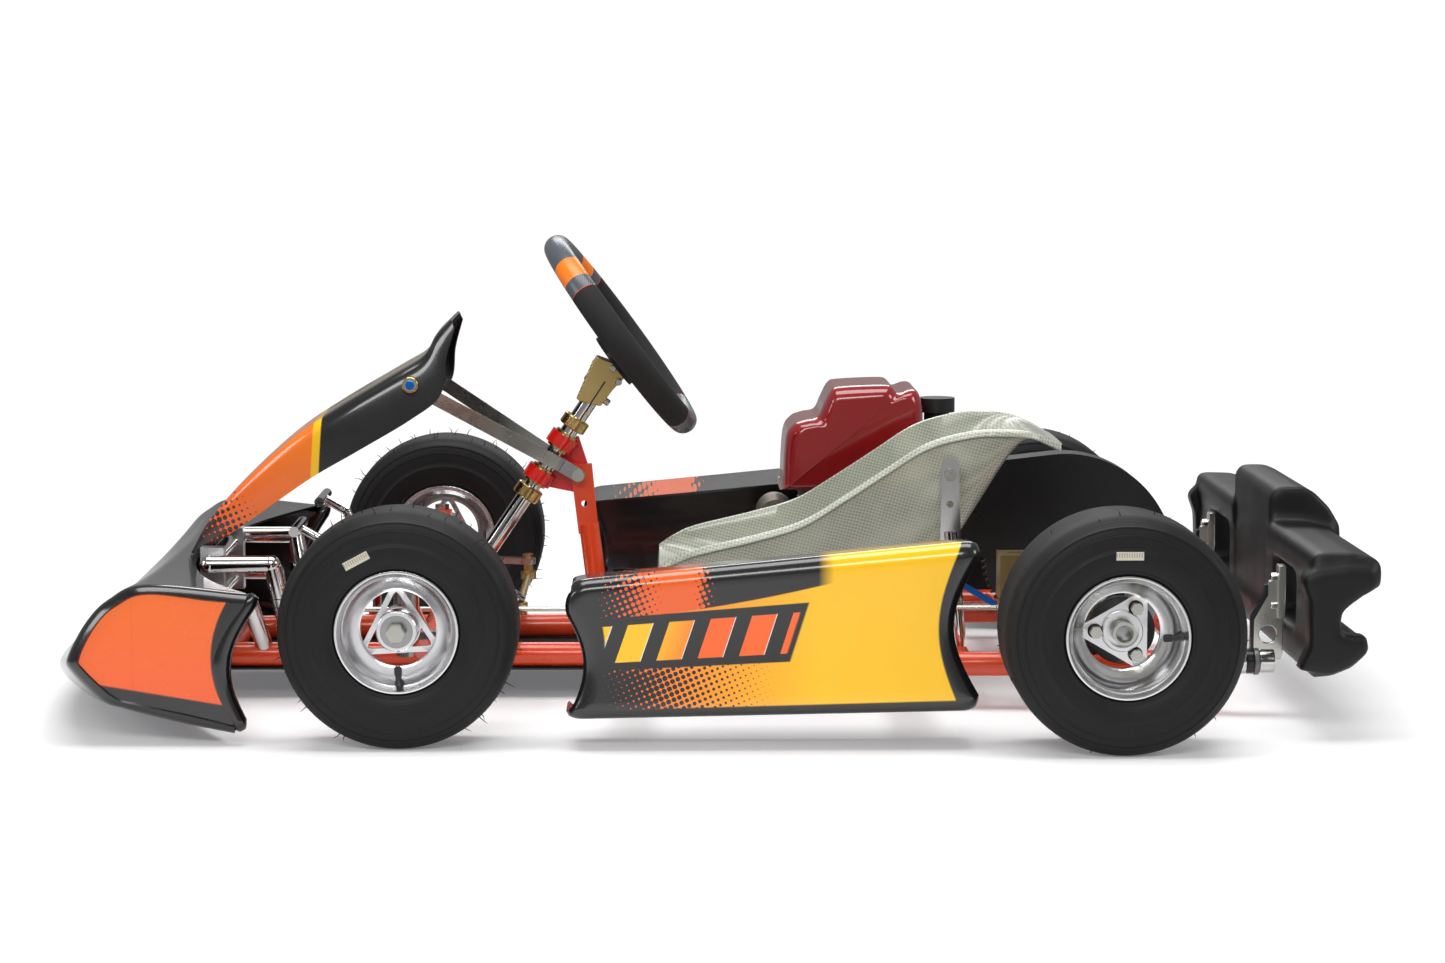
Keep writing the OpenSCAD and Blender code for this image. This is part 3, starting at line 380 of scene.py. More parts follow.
# Half a tyre's section from its bead to the middle of its tread, then mirrored and closed inside
def tyreProfile(width):
    h = width / 2
    outer = [(63.3, h - 6.8), (66.0, h - 6.6), (67.6, h - 5.6), (68.6, h - 3.4), (70.4, h - 2.6),
             (72.2, h - 3.0), (74.5, h - 1.8), (80, h - 0.7), (86, h - 0.1), (90.5, h), (91, h + 0.5),
             (92.4, h + 0.5), (93, h), (98, h - 0.1), (104, h - 0.6), (108, h - 1.0), (108.4, h - 0.6),
             (109.6, h - 0.6), (110, h - 1.2), (114, h - 1.8), (117, h - 2.8), (117.4, h - 2.3),
             (118.6, h - 2.4), (119, h - 3.6), (122.5, h - 6), (125.4, h - 9.5), (127.4, h - 13.5),
             (128.5, h - 18.5), (129, h - 26)]
    inner = [(121, h - 26), (119, h - 16), (112, h - 9), (100, h - 6.4), (84, h - 6.4), (70, h - 11),
             (63.3, h - 14)]
    tread = [(129, y) for y in np.linspace(h - 34, -(h - 34), 5)]
    mirrored = [(r, -y) for r, y in outer[::-1]]
    back = [(r, -y) for r, y in inner[::-1]]
    return outer + tread + mirrored + back + inner


# Thin moulding hairs: three-sided spikes that stand on the tread and the shoulder
def tyreHairs(corner, shapes):
    h = corner["width"] / 2
    kind = "rear" if corner["width"] > 110 else "front"
    count = tyre["hairs"][kind]
    turn = np.linspace(0, 2 * math.pi, count, endpoint=False) + rng.uniform(-0.04, 0.04, count)
    for k in range(count):
        along = [-h + 15, h - 15, 0, h - 10, -h + 22][k % 5]
        base = 129 - 0.5 if abs(along) < h - 18 else 127.0
        length = tyre["hairLength"][kind] * rng.uniform(0.35, 1.0)
        lean, away = rng.uniform(-0.6, 0.6), rng.uniform(-0.5, 0.5)
        out = np.array([math.cos(turn[k]), 0, math.sin(turn[k])])
        about = np.array([-math.sin(turn[k]), 0, math.cos(turn[k])])
        side = np.array([0, 1.0, 0])
        if out[2] * (base + length) < -(wheelHeight - 1.5):
            continue
        start = out * base + side * along
        rows = []
        for share, width in ((0, 0.75), (0.5, 0.6), (1, 0.25)):
            centre = start + out * length * share + (about * lean + side * away) * length * share ** 2
            rows.append([centre + width * (math.cos(a) * about + math.sin(a) * side) for a in (0, 2.09, 4.19)])
        points = np.array(rows) * mm + np.array([corner["x"], corner["y"], wheelHeight]) * mm
        shapes.add(points, list(gridFaces(3, 3, False, True)) + [[8, 7, 6]])


def tyreRubber(name, corner):
    material, tree, shader = newMaterial(name, Specular_IOR_Level=0.3)
    place, x, y, z = objectXyz(tree)
    dx = x - corner["x"] * mm
    dz = z - wheelHeight * mm
    radius = root(dx ** 2.0 + dz ** 2.0)
    turn = calc(tree, "ARCTAN2", dz, dx)
    made = placeGroup(tree, grain, {"Vector": place, "Scale": 700.0, "Smudge Scale": 22.0, "Roughness": 0.5,
                                    "Spread": 0.14})
    rings = sine(radius * 2600.0)
    tread = rise(radius, 0.1225, 0.1275)
    dusty = output(made, "Smudge") * 0.6
    base = mixColour(dusty, (0.0035, 0.0035, 0.0042), (0.0095, 0.0095, 0.0105))
    base = mixColour(tread * 0.55, base, (0.014, 0.014, 0.014))
    # A plain paper patch on the outer wall
    at = math.radians(corner["label"])
    east = dx * math.cos(at) + dz * math.sin(at)
    north = dx * -math.sin(at) + dz * math.cos(at)
    nearMiddle = abs(east - 0.088) < 0.0045
    nearSide = abs(north) < 0.0145
    outside = abs(y) > (abs(corner["y"]) + 30) * mm
    patch = nearMiddle * nearSide * outside
    bars = sine(north * 2400.0) > 0.2
    barRow = abs(east - 0.089) < 0.0026
    paper = mixColour(bars * barRow * 0.6, (0.62, 0.58, 0.46), (0.14, 0.13, 0.12))
    plug(tree, mixColour(patch, base, paper), shader.inputs["Base Color"])
    plug(tree, calc(tree, "ADD", output(made, "Roughness"), tread * 0.16, clamp=True),
         shader.inputs["Roughness"])
    ribs = rise(sine(turn * 46.0), 0.93, 1.0) * 0.5
    height = rings * 0.25 + (output(made, "Height") * 0.6 + ribs)
    bump = addNode(tree, "ShaderNodeBump", {"Height": height, "Strength": 0.35, "Distance": 0.0005})
    plug(tree, output(bump), shader.inputs["Normal"])
    return material


rim = {
    "steps": 144, "windowOut": 41, "hub": 22, "barNear": 21, "barFar": 27,
}


# Lathe lines: bright rings in the gloss round the wheel's axis
def polishedFinish(name, corner):
    material, tree, shader = newMaterial(name, Metallic=1.0, Anisotropic=0.4)
    place, x, _, z = objectXyz(tree)
    dx = x - corner["x"] * mm
    dz = z - wheelHeight * mm
    radius = root(dx ** 2.0 + dz ** 2.0)
    made = placeGroup(tree, grain, {"Vector": place, "Scale": 500.0, "Smudge Scale": 30.0, "Roughness": 0.2,
                                    "Spread": 0.12})
    lines = addNode(tree, "ShaderNodeTexNoise", {"W": radius * 2600.0, "Detail": 2.0},
                    noise_dimensions="1D")
    plug(tree, mixColour(output(made, "Smudge"), (0.7, 0.7, 0.71), (0.86, 0.86, 0.87)),
         shader.inputs["Base Color"])
    plug(tree, calc(tree, "ADD", output(made, "Roughness"), (output(lines) - 0.5) * 0.12, clamp=True),
         shader.inputs["Roughness"])
    bump = addNode(tree, "ShaderNodeBump", {"Height": output(lines), "Strength": 0.12, "Distance": 0.0003})
    plug(tree, output(bump), shader.inputs["Normal"])
    return material


# The dish: lip, cone, web and hub as one closed outline. h is half the rim's width, web where the web lies.
def dishProfile(h, web, hubEnd, bore):
    return [(62.6, h - 6), (66.3, h - 4), (66.5, h - 1.2), (66.0, h - 0.3), (65.0, h), (63.6, h - 0.3),
            (62.8, h - 1.6), (62.4, h - 4.2), (61.2, h - 5.4), (60.6, h - 9), (59.4, h - 10.2),
            (58.4, h - 10.8), (55, web + 16), (50, web + 10.2), (45, web + 6.2), (42.4, web + 4.6),
            (41, web + 4.2), (22.6, web + 4.2), (22, web + 5), (22, hubEnd - 1.2), (20.8, hubEnd),
            (17.6, hubEnd), (17.5, hubEnd - 10), (bore, hubEnd - 10), (bore, web - 24), (22, web - 24),
            (22, web), (41, web), (45, web + 2.2), (50, web + 6.4), (54, web + 11.5), (57.6, h - 14),
            (59, h - 10)]


def barrelProfile(h, web):
    return [(62.8, -h + 6), (66.5, -h + 3.4), (66.5, -h + 0.5), (65, -h), (61.5, -h + 0.4), (60, -h + 3),
            (59.6, -h + 17), (53.5, -h + 25), (53.5, web + 8), (57.4, h - 15), (59.2, h - 9), (62, h - 6.2),
            (63, h - 8), (63, h - 22), (57, h - 29), (56, -h + 26), (62.8, -h + 19)]


# The openings in a web: three segments outside the bars, and three small wedges between bars and hub
def webOpenings(first, corner, rearPattern):
    shapes = []
    far, near, out, hub = rim["barFar"], rim["barNear"], rim["windowOut"], rim["hub"] + 1
    for k in range(3):
        turn = math.radians(first + 120 * k)
        half = math.acos(far / out)
        arc = np.linspace(-half, half, 25)
        shapes.append([(out * math.cos(turn + a), out * math.sin(turn + a)) for a in arc])
        if rearPattern:
            # A round well for a wheel bolt, half way between the windows
            well = turn + math.radians(60)
            ring = np.linspace(0, 2 * math.pi, 32, endpoint=False)
            shapes.append([(29 * math.cos(well) + 8 * math.cos(a), 29 * math.sin(well) + 8 * math.sin(a))
                           for a in ring])
            continue
        middle = turn + math.radians(60)
        wedge = []
        for a in np.linspace(-0.50, 0.50, 13):
            reach = near / max(math.cos(math.radians(60) - abs(a)), 0.3)
            wedge.append((min(reach, out - 1.5), middle + a))
        ring = [(hub + 0.6, middle + a) for a in np.linspace(0.50, -0.50, 13)]
        outline = [(r, a) for r, a in wedge if r > hub + 1.2] + [q for q in ring if
                                                               abs(q[1] - middle) < 0.40]
        shapes.append([(r * math.cos(a), r * math.sin(a)) for r, a in outline])
    return shapes


def cutOpenings(piece, corner, openings, low, high):
    shapes = shapeList()
    for outline in openings:
        flat = np.array(outline) * mm
        n = len(flat)
        rows = np.array([[[corner["x"] * mm + p[0], (corner["y"]) * mm + np.sign(corner["y"]) * level * mm,
                           wheelHeight * mm + p[1]] for p in flat] for level in (low, high)])
        faces = list(gridFaces(2, n, False, True)) + [list(range(n))[::-1], list(range(n, 2 * n))]
        shapes.add(rows, faces)
    points, faces = shapes.all()
    mesh = bpy.data.meshes.new("cutter")
    mesh.from_pydata(points.tolist(), [], faces)
    cutter = bpy.data.objects.new("cutter", mesh)
    bpy.context.scene.collection.objects.link(cutter)
    bpy.context.view_layer.objects.active = cutter
    cutter.select_set(True)
    bpy.ops.object.mode_set(mode="EDIT")
    bpy.ops.mesh.select_all(action="SELECT")
    bpy.ops.mesh.normals_make_consistent(inside=False)
    bpy.ops.object.mode_set(mode="OBJECT")
    cutter.select_set(False)
    change = piece.modifiers.new("openings", "BOOLEAN")
    change.object = cutter
    change.operation = "DIFFERENCE"
    change.solver = "EXACT"
    bpy.context.view_layer.objects.active = piece
    bpy.ops.object.modifier_apply(modifier="openings")
    bpy.data.objects.remove(cutter)


# A round bar through points, as rings carried along the line
def roundBar(points, radii, steps=16):
    p = np.asarray(points, float)
    forward = np.gradient(p, axis=0)
    forward /= np.linalg.norm(forward, axis=1)[:, None]
    helper = np.array([0.13, 0.31, 0.94])
    u = np.cross(forward, helper)
    u /= np.linalg.norm(u, axis=1)[:, None]
    v = np.cross(forward, u)
    turn = np.linspace(0, 2 * math.pi, steps, endpoint=False)
    r = np.broadcast_to(np.asarray(radii, float), (len(p),))[:, None, None]
    rings = p[:, None, :] + r * (np.cos(turn)[None, :, None] * u[:, None, :] + np.sin(turn)[None, :, None]
                                 * v[:, None, :])
    n = len(p)
    faces = list(gridFaces(n, steps, False, True)) + [list(range(steps))[::-1],
                                                      list(range((n - 1) * steps, n * steps))]
    return rings, faces


def makeWheel(name, corner):
    side = 1 if corner["y"] > 0 else -1
    middle = np.array([corner["x"], corner["y"], wheelHeight]) * mm
    rear = corner["width"] > 110
    shapes = shapeList()
    points, faces = spin(tyreProfile(corner["width"]), middle, tyre["steps"], side)
    shapes.add(points, faces)
    tyreHairs(corner, shapes)
    points, faces = shapes.all()
    makePiece(name + "_tyre_rubber", points, faces, tyreRubber(name + "Rubber", corner), corner["body"],
              [corner["tyre"]] if corner["tyre"] else [])
    h = corner["width"] / 2 - 2
    web = 4 if rear else 11
    hubEnd = 15 if rear else 42
    material = polishedFinish(name + "Polish", corner)
    points, faces = spin(dishProfile(h, web, hubEnd, 12.7 if rear else 13.2), middle, rim["steps"], side)
    dish = makePiece(name + "_rim_dish", points, faces, material, corner["body"],
                     [corner["rim"]] if corner["rim"] else [])
    first = (0 if rear else 33) if side < 0 else (60 if rear else 27)
    cutOpenings(dish, corner, webOpenings(first, corner, rear), web - 8, web + 12)
    points, faces = spin(barrelProfile(h, web), middle, rim["steps"], side)
    makePiece(name + "_rim_barrel", points, faces, material, corner["body"])
    # Valve: a rubber foot, a neck and a cap that lean towards the hub
    turn = math.radians(corner["valve"])
    out = np.array([math.cos(turn), 0, math.sin(turn)])
    stations = [(57.5, h - 16, 5.6), (56.5, h - 13, 5.2), (54, h - 9, 3.8), (50, h - 5.5, 3.4),
                (46, h - 4, 3.3), (45.5, h - 3.9, 4.2), (38, h - 3.2, 4.2), (37, h - 3.1, 3.0),
                (36.8, h - 3.1, 0.6)]
    line = [middle + (out * r + np.array([0, side * along, 0])) * mm for r, along, _ in stations]
    points, faces = roundBar(line, [q[2] * mm for q in stations], 18)
    makePiece(name + "_valve", points, faces, finishes["cap_black"], corner["body"])


for name, corner in corners.items():
    makeWheel(name, corner)


# Behind each rear web stands a flange on a tube; the axle ends in a slightly domed face
def makeRearHubs():
    hubs, ends = shapeList(), shapeList()
    for name in ("left_rear", "right_rear"):
        corner = corners[name]
        side = 1 if corner["y"] > 0 else -1
        middle = np.array([corner["x"], corner["y"], wheelHeight]) * mm
        points, faces = spin([(12.7, 3.6), (35, 3.6), (36, 2.8), (36, -7), (34.6, -8), (21, -8), (20, -10),
                              (20, -40), (12.7, -40)], middle, 96, side)
        hubs.add(points, faces)
        stations = [(-2, 12.3), (11.0, 12.3), (12.2, 11.6), (12.5, 9.0), (12.7, 4.0), (12.72, 0.4)]
        line = [middle + np.array([0, side * along, 0]) * mm for along, _ in stations]
        points, faces = roundBar(line, [q[1] * mm for q in stations], 48)
        ends.add(points, faces)
    points, faces = hubs.all()
    makePiece("rear_hub_blocks", points, faces, finishes["guard_black"], "rear_wheels",
              ["rear_hubs"])
    points, faces = ends.all()
    makePiece("axle_ends", points, faces, finishes["steel"], "rear_wheels", ())


makeRearHubs()
print("stage: wheels made")

# Seat

seat = {
    "rows": [(-50, 147, -50, 151, 92), (-26, 137, -30, 163, 99), (0, 126, -4, 173, 104), (70, 96, 66, 190, 106),
             (140, 73, 118, 206, 104), (200, 67, 168, 236, 102), (243, 84, 214, 266, 102), (282, 150, 262,
                                                                                            296, 106),
             (322, 218, 312, 310, 112), (362, 284, 352, 312, 114), (388, 303, 386, 308, 108), (424, 292,
                                                                                               420, 292, 84)],
    "wall": 4, "across": 49, "along": 96, "roll": 7,
}


# Across the seat a point runs from rim to rim: width as a sine, height as a steep power, with a rolled lip
def seatGrid():
    rows = smoothLine(seat["rows"], seat["along"])
    v = np.linspace(-1, 1, seat["across"])[None, :]
    share = np.abs(v) ** 3.2
    width = rows[:, 4][:, None] * np.sin(np.pi / 2 * np.abs(v)) * np.sign(v)
    x = rows[:, 0][:, None] + share * (rows[:, 2] - rows[:, 0])[:, None]
    z = rows[:, 1][:, None] + share * (rows[:, 3] - rows[:, 1])[:, None]
    points = np.stack([x, width, z], -1)
    lips = []
    for end in (0, -1):
        edge = points[:, end]
        sign = -1 if end == 0 else 1
        lip = [edge + np.array([0, sign * s * seat["roll"], -d * seat["roll"]]) for s, d in
               ((0.35, -0.2), (0.8, 0.0), (1.1, 0.4), (1.15, 0.9))]
        lips.append(np.stack(lip, 1))
    return np.concatenate([lips[0][:, ::-1], points, lips[1]], 1) * mm


def seatGlass():
    material, tree, shader = newMaterial("wovenGlass", Coat_Weight=0.6, Coat_Roughness=0.12, IOR=1.45,
                                         Transmission_Weight=0.12, Subsurface_Weight=0.0)
    place, x, y, z = objectXyz(tree)
    rows = x * 0.9 + z * 0.5
    side = z * 0.9 - x * 0.5
    wobble = addNode(tree, "ShaderNodeTexNoise", {"Vector": place, "Scale": 26.0, "Detail": 3.0})
    drift = output(wobble) * 3.0
    warp = sine(rows * 1150.0 + drift)
    weft = sine(side * 1150.0 + drift)
    cross = sine(y * 1150.0)
    weave = warp * weft + cross * 0.3
    mask = rise(weave, -1.1, 1.1)
    patchy = addNode(tree, "ShaderNodeTexNoise",
                     {"Vector": place, "Scale": 60.0, "Detail": 4.0, "Roughness": 0.7})
    dark = mixColour(output(patchy), (0.26, 0.28, 0.24), (0.42, 0.44, 0.36))
    light = mixColour(output(patchy), (0.56, 0.58, 0.47), (0.72, 0.74, 0.62))
    plug(tree, mixColour(mask, dark, light), shader.inputs["Base Color"])
    plug(tree, 0.22 + mask * 0.2, shader.inputs["Roughness"])
    bump = addNode(tree, "ShaderNodeBump", {"Height": mask, "Strength": 0.35, "Distance": 0.0005})
    plug(tree, output(bump), shader.inputs["Normal"])
    return material


# Gives a sheet its wall: a second skin behind it along the sheet's own normals, closed round the edge
def thickSheet(grid, wall):
    m, n, _ = grid.shape
    du = np.gradient(grid, axis=0)
    dv = np.gradient(grid, axis=1)
    normal = np.cross(du, dv)
    normal /= np.linalg.norm(normal, axis=2)[..., None] + 1e-12
    back = grid - normal * wall
    front = gridFaces(m, n)
    count = m * n
    edge = ([(0, j) for j in range(n)] + [(i, n - 1) for i in range(1, m)]
            + [(m - 1, j) for j in range(n - 2, -1, -1)] + [(i, 0) for i in range(m - 2, 0, -1)])
    ring = [i * n + j for i, j in edge]
    border = [[ring[k], ring[(k + 1) % len(ring)], ring[(k + 1) % len(ring)] + count, ring[k] + count]
            for k in range(len(ring))]
    faces = [list(f) for f in front] + [[f[3] + count, f[2] + count, f[1] + count, f[0] + count] for f in front]
    return np.concatenate([grid.reshape(-1, 3), back.reshape(-1, 3)]), faces + border


points, faces = thickSheet(seatGrid(), seat["wall"] * mm)
makePiece("bucket_seat", points, faces, seatGlass(), "chassis", ["seat"], 60)
print("stage: seat made")

glossBlack = plainFinish("glossBlack", (0.005, 0.005, 0.006), 0.22, scale=200, bump=0.05, Coat_Weight=0.6,
                         Coat_Roughness=0.08)


def sheetFront(grid):
    return (grid.shape[0] - 1) * (grid.shape[1] - 1)


# Side pods

pod = {"along": 60, "wall": 3, "inside": 334, "outside": 441, "corner": 15, "belly": 2.5}


def podEnd(u, share):
    front = -150 + 19 * np.sin(np.pi * np.minimum(1, share * 1.3)) + np.clip((share - 0.85) * 60, 0, 6)
    rear = 293 - 27 * np.sin(np.pi * np.clip(share * 1.25 - 0.12, 0, 1))
    return front + u * (rear - front)


# The section: a shelf that climbs a little, a round shoulder, a slightly hollow side and a round foot
def podSection(height):
    r, out = pod["corner"], pod["outside"]
    turn = np.linspace(0, np.pi / 2, 12)
    shelf = np.linspace(0, 1, 12)[:-1]
    side = np.linspace(0, 1, 22)[1:-1]
    y = [pod["inside"] + shelf * (out - r - pod["inside"]), out - r + r * np.sin(turn),
         out - pod["belly"] * np.sin(np.pi * side), out - r + r * np.cos(turn), out - r - shelf[1:] * 70]
    z = [height - 9 + shelf * 9, height - r + r * np.cos(turn), height - r - side * (height - 2 * r),
         r - r * np.sin(turn), 0 * shelf[1:]]
    return np.concatenate(y), np.concatenate(z)


# The pod is its section carried from end to end, with the ends rolled inwards
def podGrid(side):
    u = np.concatenate([[0.0, 0.006, 0.014, 0.024, 0.036], np.linspace(0.05, 0.95, pod["along"]),
                        [0.964, 0.976, 0.986, 0.994, 1.0]])
    low, high = 33 + 8 * u, 184 + 42 * u
    y, z = podSection(160.0)
    share = np.broadcast_to(z / 160, (len(u), len(z)))
    roll = 11 * (1 - np.sqrt(np.clip(1 - np.clip(1 - np.minimum(u, 1 - u) / 0.04, 0, 1) ** 2, 0, 1)))[:, None]
    x = podEnd(u[:, None], share)
    outer = np.clip((y - 400) / 30, 0, 1)[None, :]
    up = low[:, None] + share * (high - low)[:, None] + roll * np.interp(share, [0, 0.1, 0.9, 1],
                                                                         [0.6, 0, 0, -0.8])
    return np.stack([x, side * (y[None, :] - roll * outer), up], -1) * mm


# Paint: yellow at the back through orange to black at the front, with dots, slanted bars and a dark edge
def podPaint():
    material, tree, shader = newMaterial("podPaint", Coat_Weight=0.7, Coat_Roughness=0.06, Roughness=0.3)
    place, x, _, z = objectXyz(tree)
    across = (x + 0.14) / 0.42
    low = 0.034 + across * 0.008
    high = 0.183 + across * 0.042
    up = (z - low) / (high - low)
    fade = rise(across, 0.05, 0.62)
    warm = mixColour(fade, colours["deepOrange"], colours["yellow"])
    # Dots: black on colour, bigger towards the front and the bottom
    grow = calc(tree, "SUBTRACT", 1.12, across * 2.1, clamp=True)
    lower = grow * rise(up, 0.62, 0.3)
    dots = output(placeGroup(tree, halftone, {"Across": x, "Up": z, "Cell": 0.0062, "Size": lower}))
    paint = mixColour(dots, warm, colours["black"])
    # The dark swoosh along the top, with orange dots in it
    swoosh = 0.7 + across ** 2.0 * 0.3
    inTop = rise(up - swoosh, 0.0, 0.008)
    early = rise(across, 0.66, 0.62)
    topDots = output(placeGroup(tree, halftone,
                             {"Across": x, "Up": z, "Cell": 0.0062, "Size": rise(across, 0.05, 0.24)
                              * rise(across, 0.36, 0.3)}))
    topColour = mixColour(topDots * 0.9, colours["black"], colours["orange"])
    paint = mixColour(inTop * early, paint, topColour)
    # A dark rounded panel with slanted bars
    inBand = rise(up, 0.345, 0.352) * rise(up, 0.725, 0.718)
    slant = across + up * -0.13
    bandEnd = rise(slant, 0.505, 0.5)
    paint = mixColour(inBand * bandEnd, paint, colours["black"])
    cell = (slant + 0.055) / 0.105
    inBar = fract(cell) < 0.62
    tall = rise(up, 0.4, 0.405) * rise(up, 0.665, 0.66)
    first = rise(slant, 0.49, 0.485)
    barColour = mixColour(rise(slant, 0.12, 0.26), colours["yellow"], colours["orange"])
    bars = inBar * tall * first
    paint = mixColour(bars, paint, barColour)
    edge = (fract(cell) > 0.6) * inBar
    paint = mixColour(edge * (tall * first), paint, colours["white"])
    # Black moulded edges and inner faces
    bow = sine(up * math.pi) * 0.018
    frontEdge = rise(x - bow, -0.1245, -0.1265)
    rearEdge = rise(x + bow * 1.35, 0.272, 0.274)
    bottom = rise(up, 0.075, 0.065)
    for mask in (frontEdge, rearEdge, bottom):
        paint = mixColour(mask, paint, colours["black"])
    plug(tree, paint, shader.inputs["Base Color"])
    made = placeGroup(tree, grain, {"Vector": place, "Scale": 60.0, "Roughness": 0.25, "Spread": 0.06})
    plug(tree, output(made, "Roughness"), shader.inputs["Roughness"])
    bump = addNode(tree, "ShaderNodeBump",
                   {"Height": output(made, "Height"), "Strength": 0.05, "Distance": 0.001})
    plug(tree, output(bump), shader.inputs["Normal"])
    return material


podMaterial = podPaint()
for side, name in ((-1, "left"), (1, "right")):
    points, faces = thickSheet(podGrid(side), side * pod["wall"] * mm)
    makePiece(name + "_pod_shell", points, faces, podMaterial, "chassis",
              [name + "_side_pod"], 50, inner=(glossBlack, sheetFront(podGrid(side))))
print("stage: pods made")

# Nose fairing

nose = {
    "middle": [(-600, 28), (-660, 33), (-715, 38), (-734, 42), (-741, 52), (-722, 72), (-674, 116), (-640, 143),
               (-612, 160), (-594, 156)],
    "side": [(-504, 14), (-560, 26), (-620, 42), (-646, 52), (-678, 84), (-682, 98), (-664, 134), (-640, 158),
             (-600, 173), (-489, 163)],
    "halfWidth": 402, "across": 97, "round": 70, "wall": 3, "corner": 14,
}


# Sections blend from the middle's outline to the side's, and the last ones round inwards to a flat end
def noseGrid():
    s = np.linspace(-1, 1, nose["across"])
    s = np.sign(s) * (1 - (1 - np.abs(s)) ** 1.25)
    blendTo = np.abs(s)[:, None, None] ** 2.2
    middle = smoothLine(nose["middle"], nose["round"])[None]
    outer = smoothLine(nose["side"], nose["round"])[None]
    section = (1 - blendTo) * middle + blendTo * outer
    y = s * nose["halfWidth"]
    centre = np.stack([-600 + 60 * np.abs(s) ** 2.2, np.full_like(s, 96)], -1)[:, None, :]
    reach = np.clip((np.abs(y) - (nose["halfWidth"] - nose["corner"])) / nose["corner"], 0, 1)[:, None, None]
    tuck = nose["corner"] * 0.7 * (1 - np.sqrt(1 - reach ** 2 * 0.999))
    away = section - centre
    size = np.linalg.norm(away, axis=2)[..., None]
    section = section - away / size * tuck
    return np.stack([section[..., 0], np.broadcast_to(y[:, None], section.shape[:2]), section[..., 1]], -1) * mm


# Fills each end of the fairing with a fan of rows that shrink towards the open back edge
def noseEnd(section, side):
    count = len(section)
    rows = 9
    backBottom, backTop = section[0], section[-1]
    t = np.linspace(0, 1, count)[:, None]
    concave = np.sin(np.pi * t) * np.array([[-0.022, 0, 0]])
    spine = backBottom + (backTop - backBottom) * t + concave
    share = np.linspace(0, 1, rows)[:, None, None]
    return section[None] * (1 - share) + spine[None] * share


def nosePaint():
    material, tree, shader = newMaterial("nosePaint", Coat_Weight=0.7, Coat_Roughness=0.06)
    place, x, y, z = objectXyz(tree)
    away = abs(y)
    paint = mixColour(rise(z, 0.04, 0.17), (0.9, 0.1, 0.008), (0.96, 0.16, 0.01))
    # The lower edge line climbs towards the tip; below it the shell is black
    lineZ = 0.044 + (x + 0.52) * -0.17
    paint = mixColour(rise(z - lineZ, 0.002, 0.0), paint, colours["black"])
    # The back edge of the side is black too, and bows forward at half height
    tall = (z - 0.095) / 0.075
    bow = (1.0 - tall ** 2.0) * 0.026
    backLine = x + bow
    onSide = rise(away, 0.2, 0.25)
    paint = mixColour(rise(backLine, -0.5075, -0.5055) * onSide, paint, colours["black"])
    # The top: dots in a belt, a black line and a grey middle
    grow = rise(z, 0.12, 0.155) * rise(away, 0.33, 0.22)
    dots = output(placeGroup(tree, halftone, {"Across": x + y * 0.2, "Up": y, "Cell": 0.0056, "Size": grow}))
    paint = mixColour(dots, paint, colours["black"])
    ridge = rise(away, 0.225, 0.222) * rise(away, 0.204, 0.207)
    paint = mixColour(ridge, paint, colours["black"])
    inside = rise(away, 0.205, 0.203)
    greyLine = mixColour(rise(away, 0.195, 0.193), colours["white"], (0.2, 0.2, 0.215))
    stripe = rise(away, 0.148, 0.146) * rise(away, 0.132, 0.134)
    greyLine = mixColour(stripe, greyLine, colours["orange"])
    paint = mixColour(inside, paint, greyLine)
    plug(tree, paint, shader.inputs["Base Color"])
    made = placeGroup(tree, grain, {"Vector": place, "Scale": 60.0, "Roughness": 0.27, "Spread": 0.06})
    plug(tree, output(made, "Roughness"), shader.inputs["Roughness"])
    return material


noseMaterial = nosePaint()
noseSurface = noseGrid()
points, faces = thickSheet(noseSurface, nose["wall"] * mm)
makePiece("nose_shell", points, faces, noseMaterial, "chassis", ["nose_fairing"], 50,
          inner=(glossBlack, sheetFront(noseSurface)))
for end, side, name in ((0, -1, "left"), (-1, 1, "right")):
    endGrid = noseEnd(noseSurface[end], side)
    points, faces = thickSheet(endGrid, -side * nose["wall"] * mm)
    makePiece(name + "_nose_end", points, faces, noseMaterial, "chassis", (), 50,
              inner=(glossBlack, sheetFront(endGrid)))


# The moulded edge: a bead down each open back edge and a thinner one under the front
def makeBeads():
    shapes = shapeList()
    for side in (-1, 1):
        t = np.linspace(0, 1, 40)
        back = np.stack([-0.489 - 0.015 * t - 0.030 * np.sin(np.pi * t) + 0.004, np.full(40, side * 0.3935),
                         0.163 - 0.147 * t], -1)
        swell = np.interp(t, [0, 0.04, 0.5, 0.96, 1], [0.005, 0.0085, 0.0115, 0.0095, 0.004])
        points, faces = roundBar(back, swell, 18)
        shapes.add(points, faces)
    low = nose["round"] // 3
    under = noseSurface[2:-2, low] + np.array([0.004, 0, 0.001])
    points, faces = roundBar(under, 0.0055, 14)
    shapes.add(points, faces)
    points, faces = shapes.all()
    makePiece("nose_beads", points, faces, glossBlack, "chassis", (), 60)


makeBeads()
print("stage: nose made")

# Front panel

panel = {
    "rows": [(-600, 166, 62, 2), (-580, 201, 74, 26), (-537, 249, 90, 42), (-477, 303, 106, 52),
             (-423, 339, 112, 56), (-360, 376, 108, 56), (-324, 398, 100, 50), (-309, 422, 92, 30),
             (-292, 440, 84, 12)],
    "across": [(-1, 1), (-0.995, 0.7), (-0.985, 0.42), (-0.965, 0.2), (-0.92, 0.07), (-0.84, 0.015), (-0.6, 0),
               (0, -0.03), (0.6, 0), (0.84, 0.015), (0.92, 0.07), (0.965, 0.2), (0.985, 0.42), (0.995,
                                                                                                0.7), (1, 1)],
    "along": 70, "count": 57, "wall": 3,
}


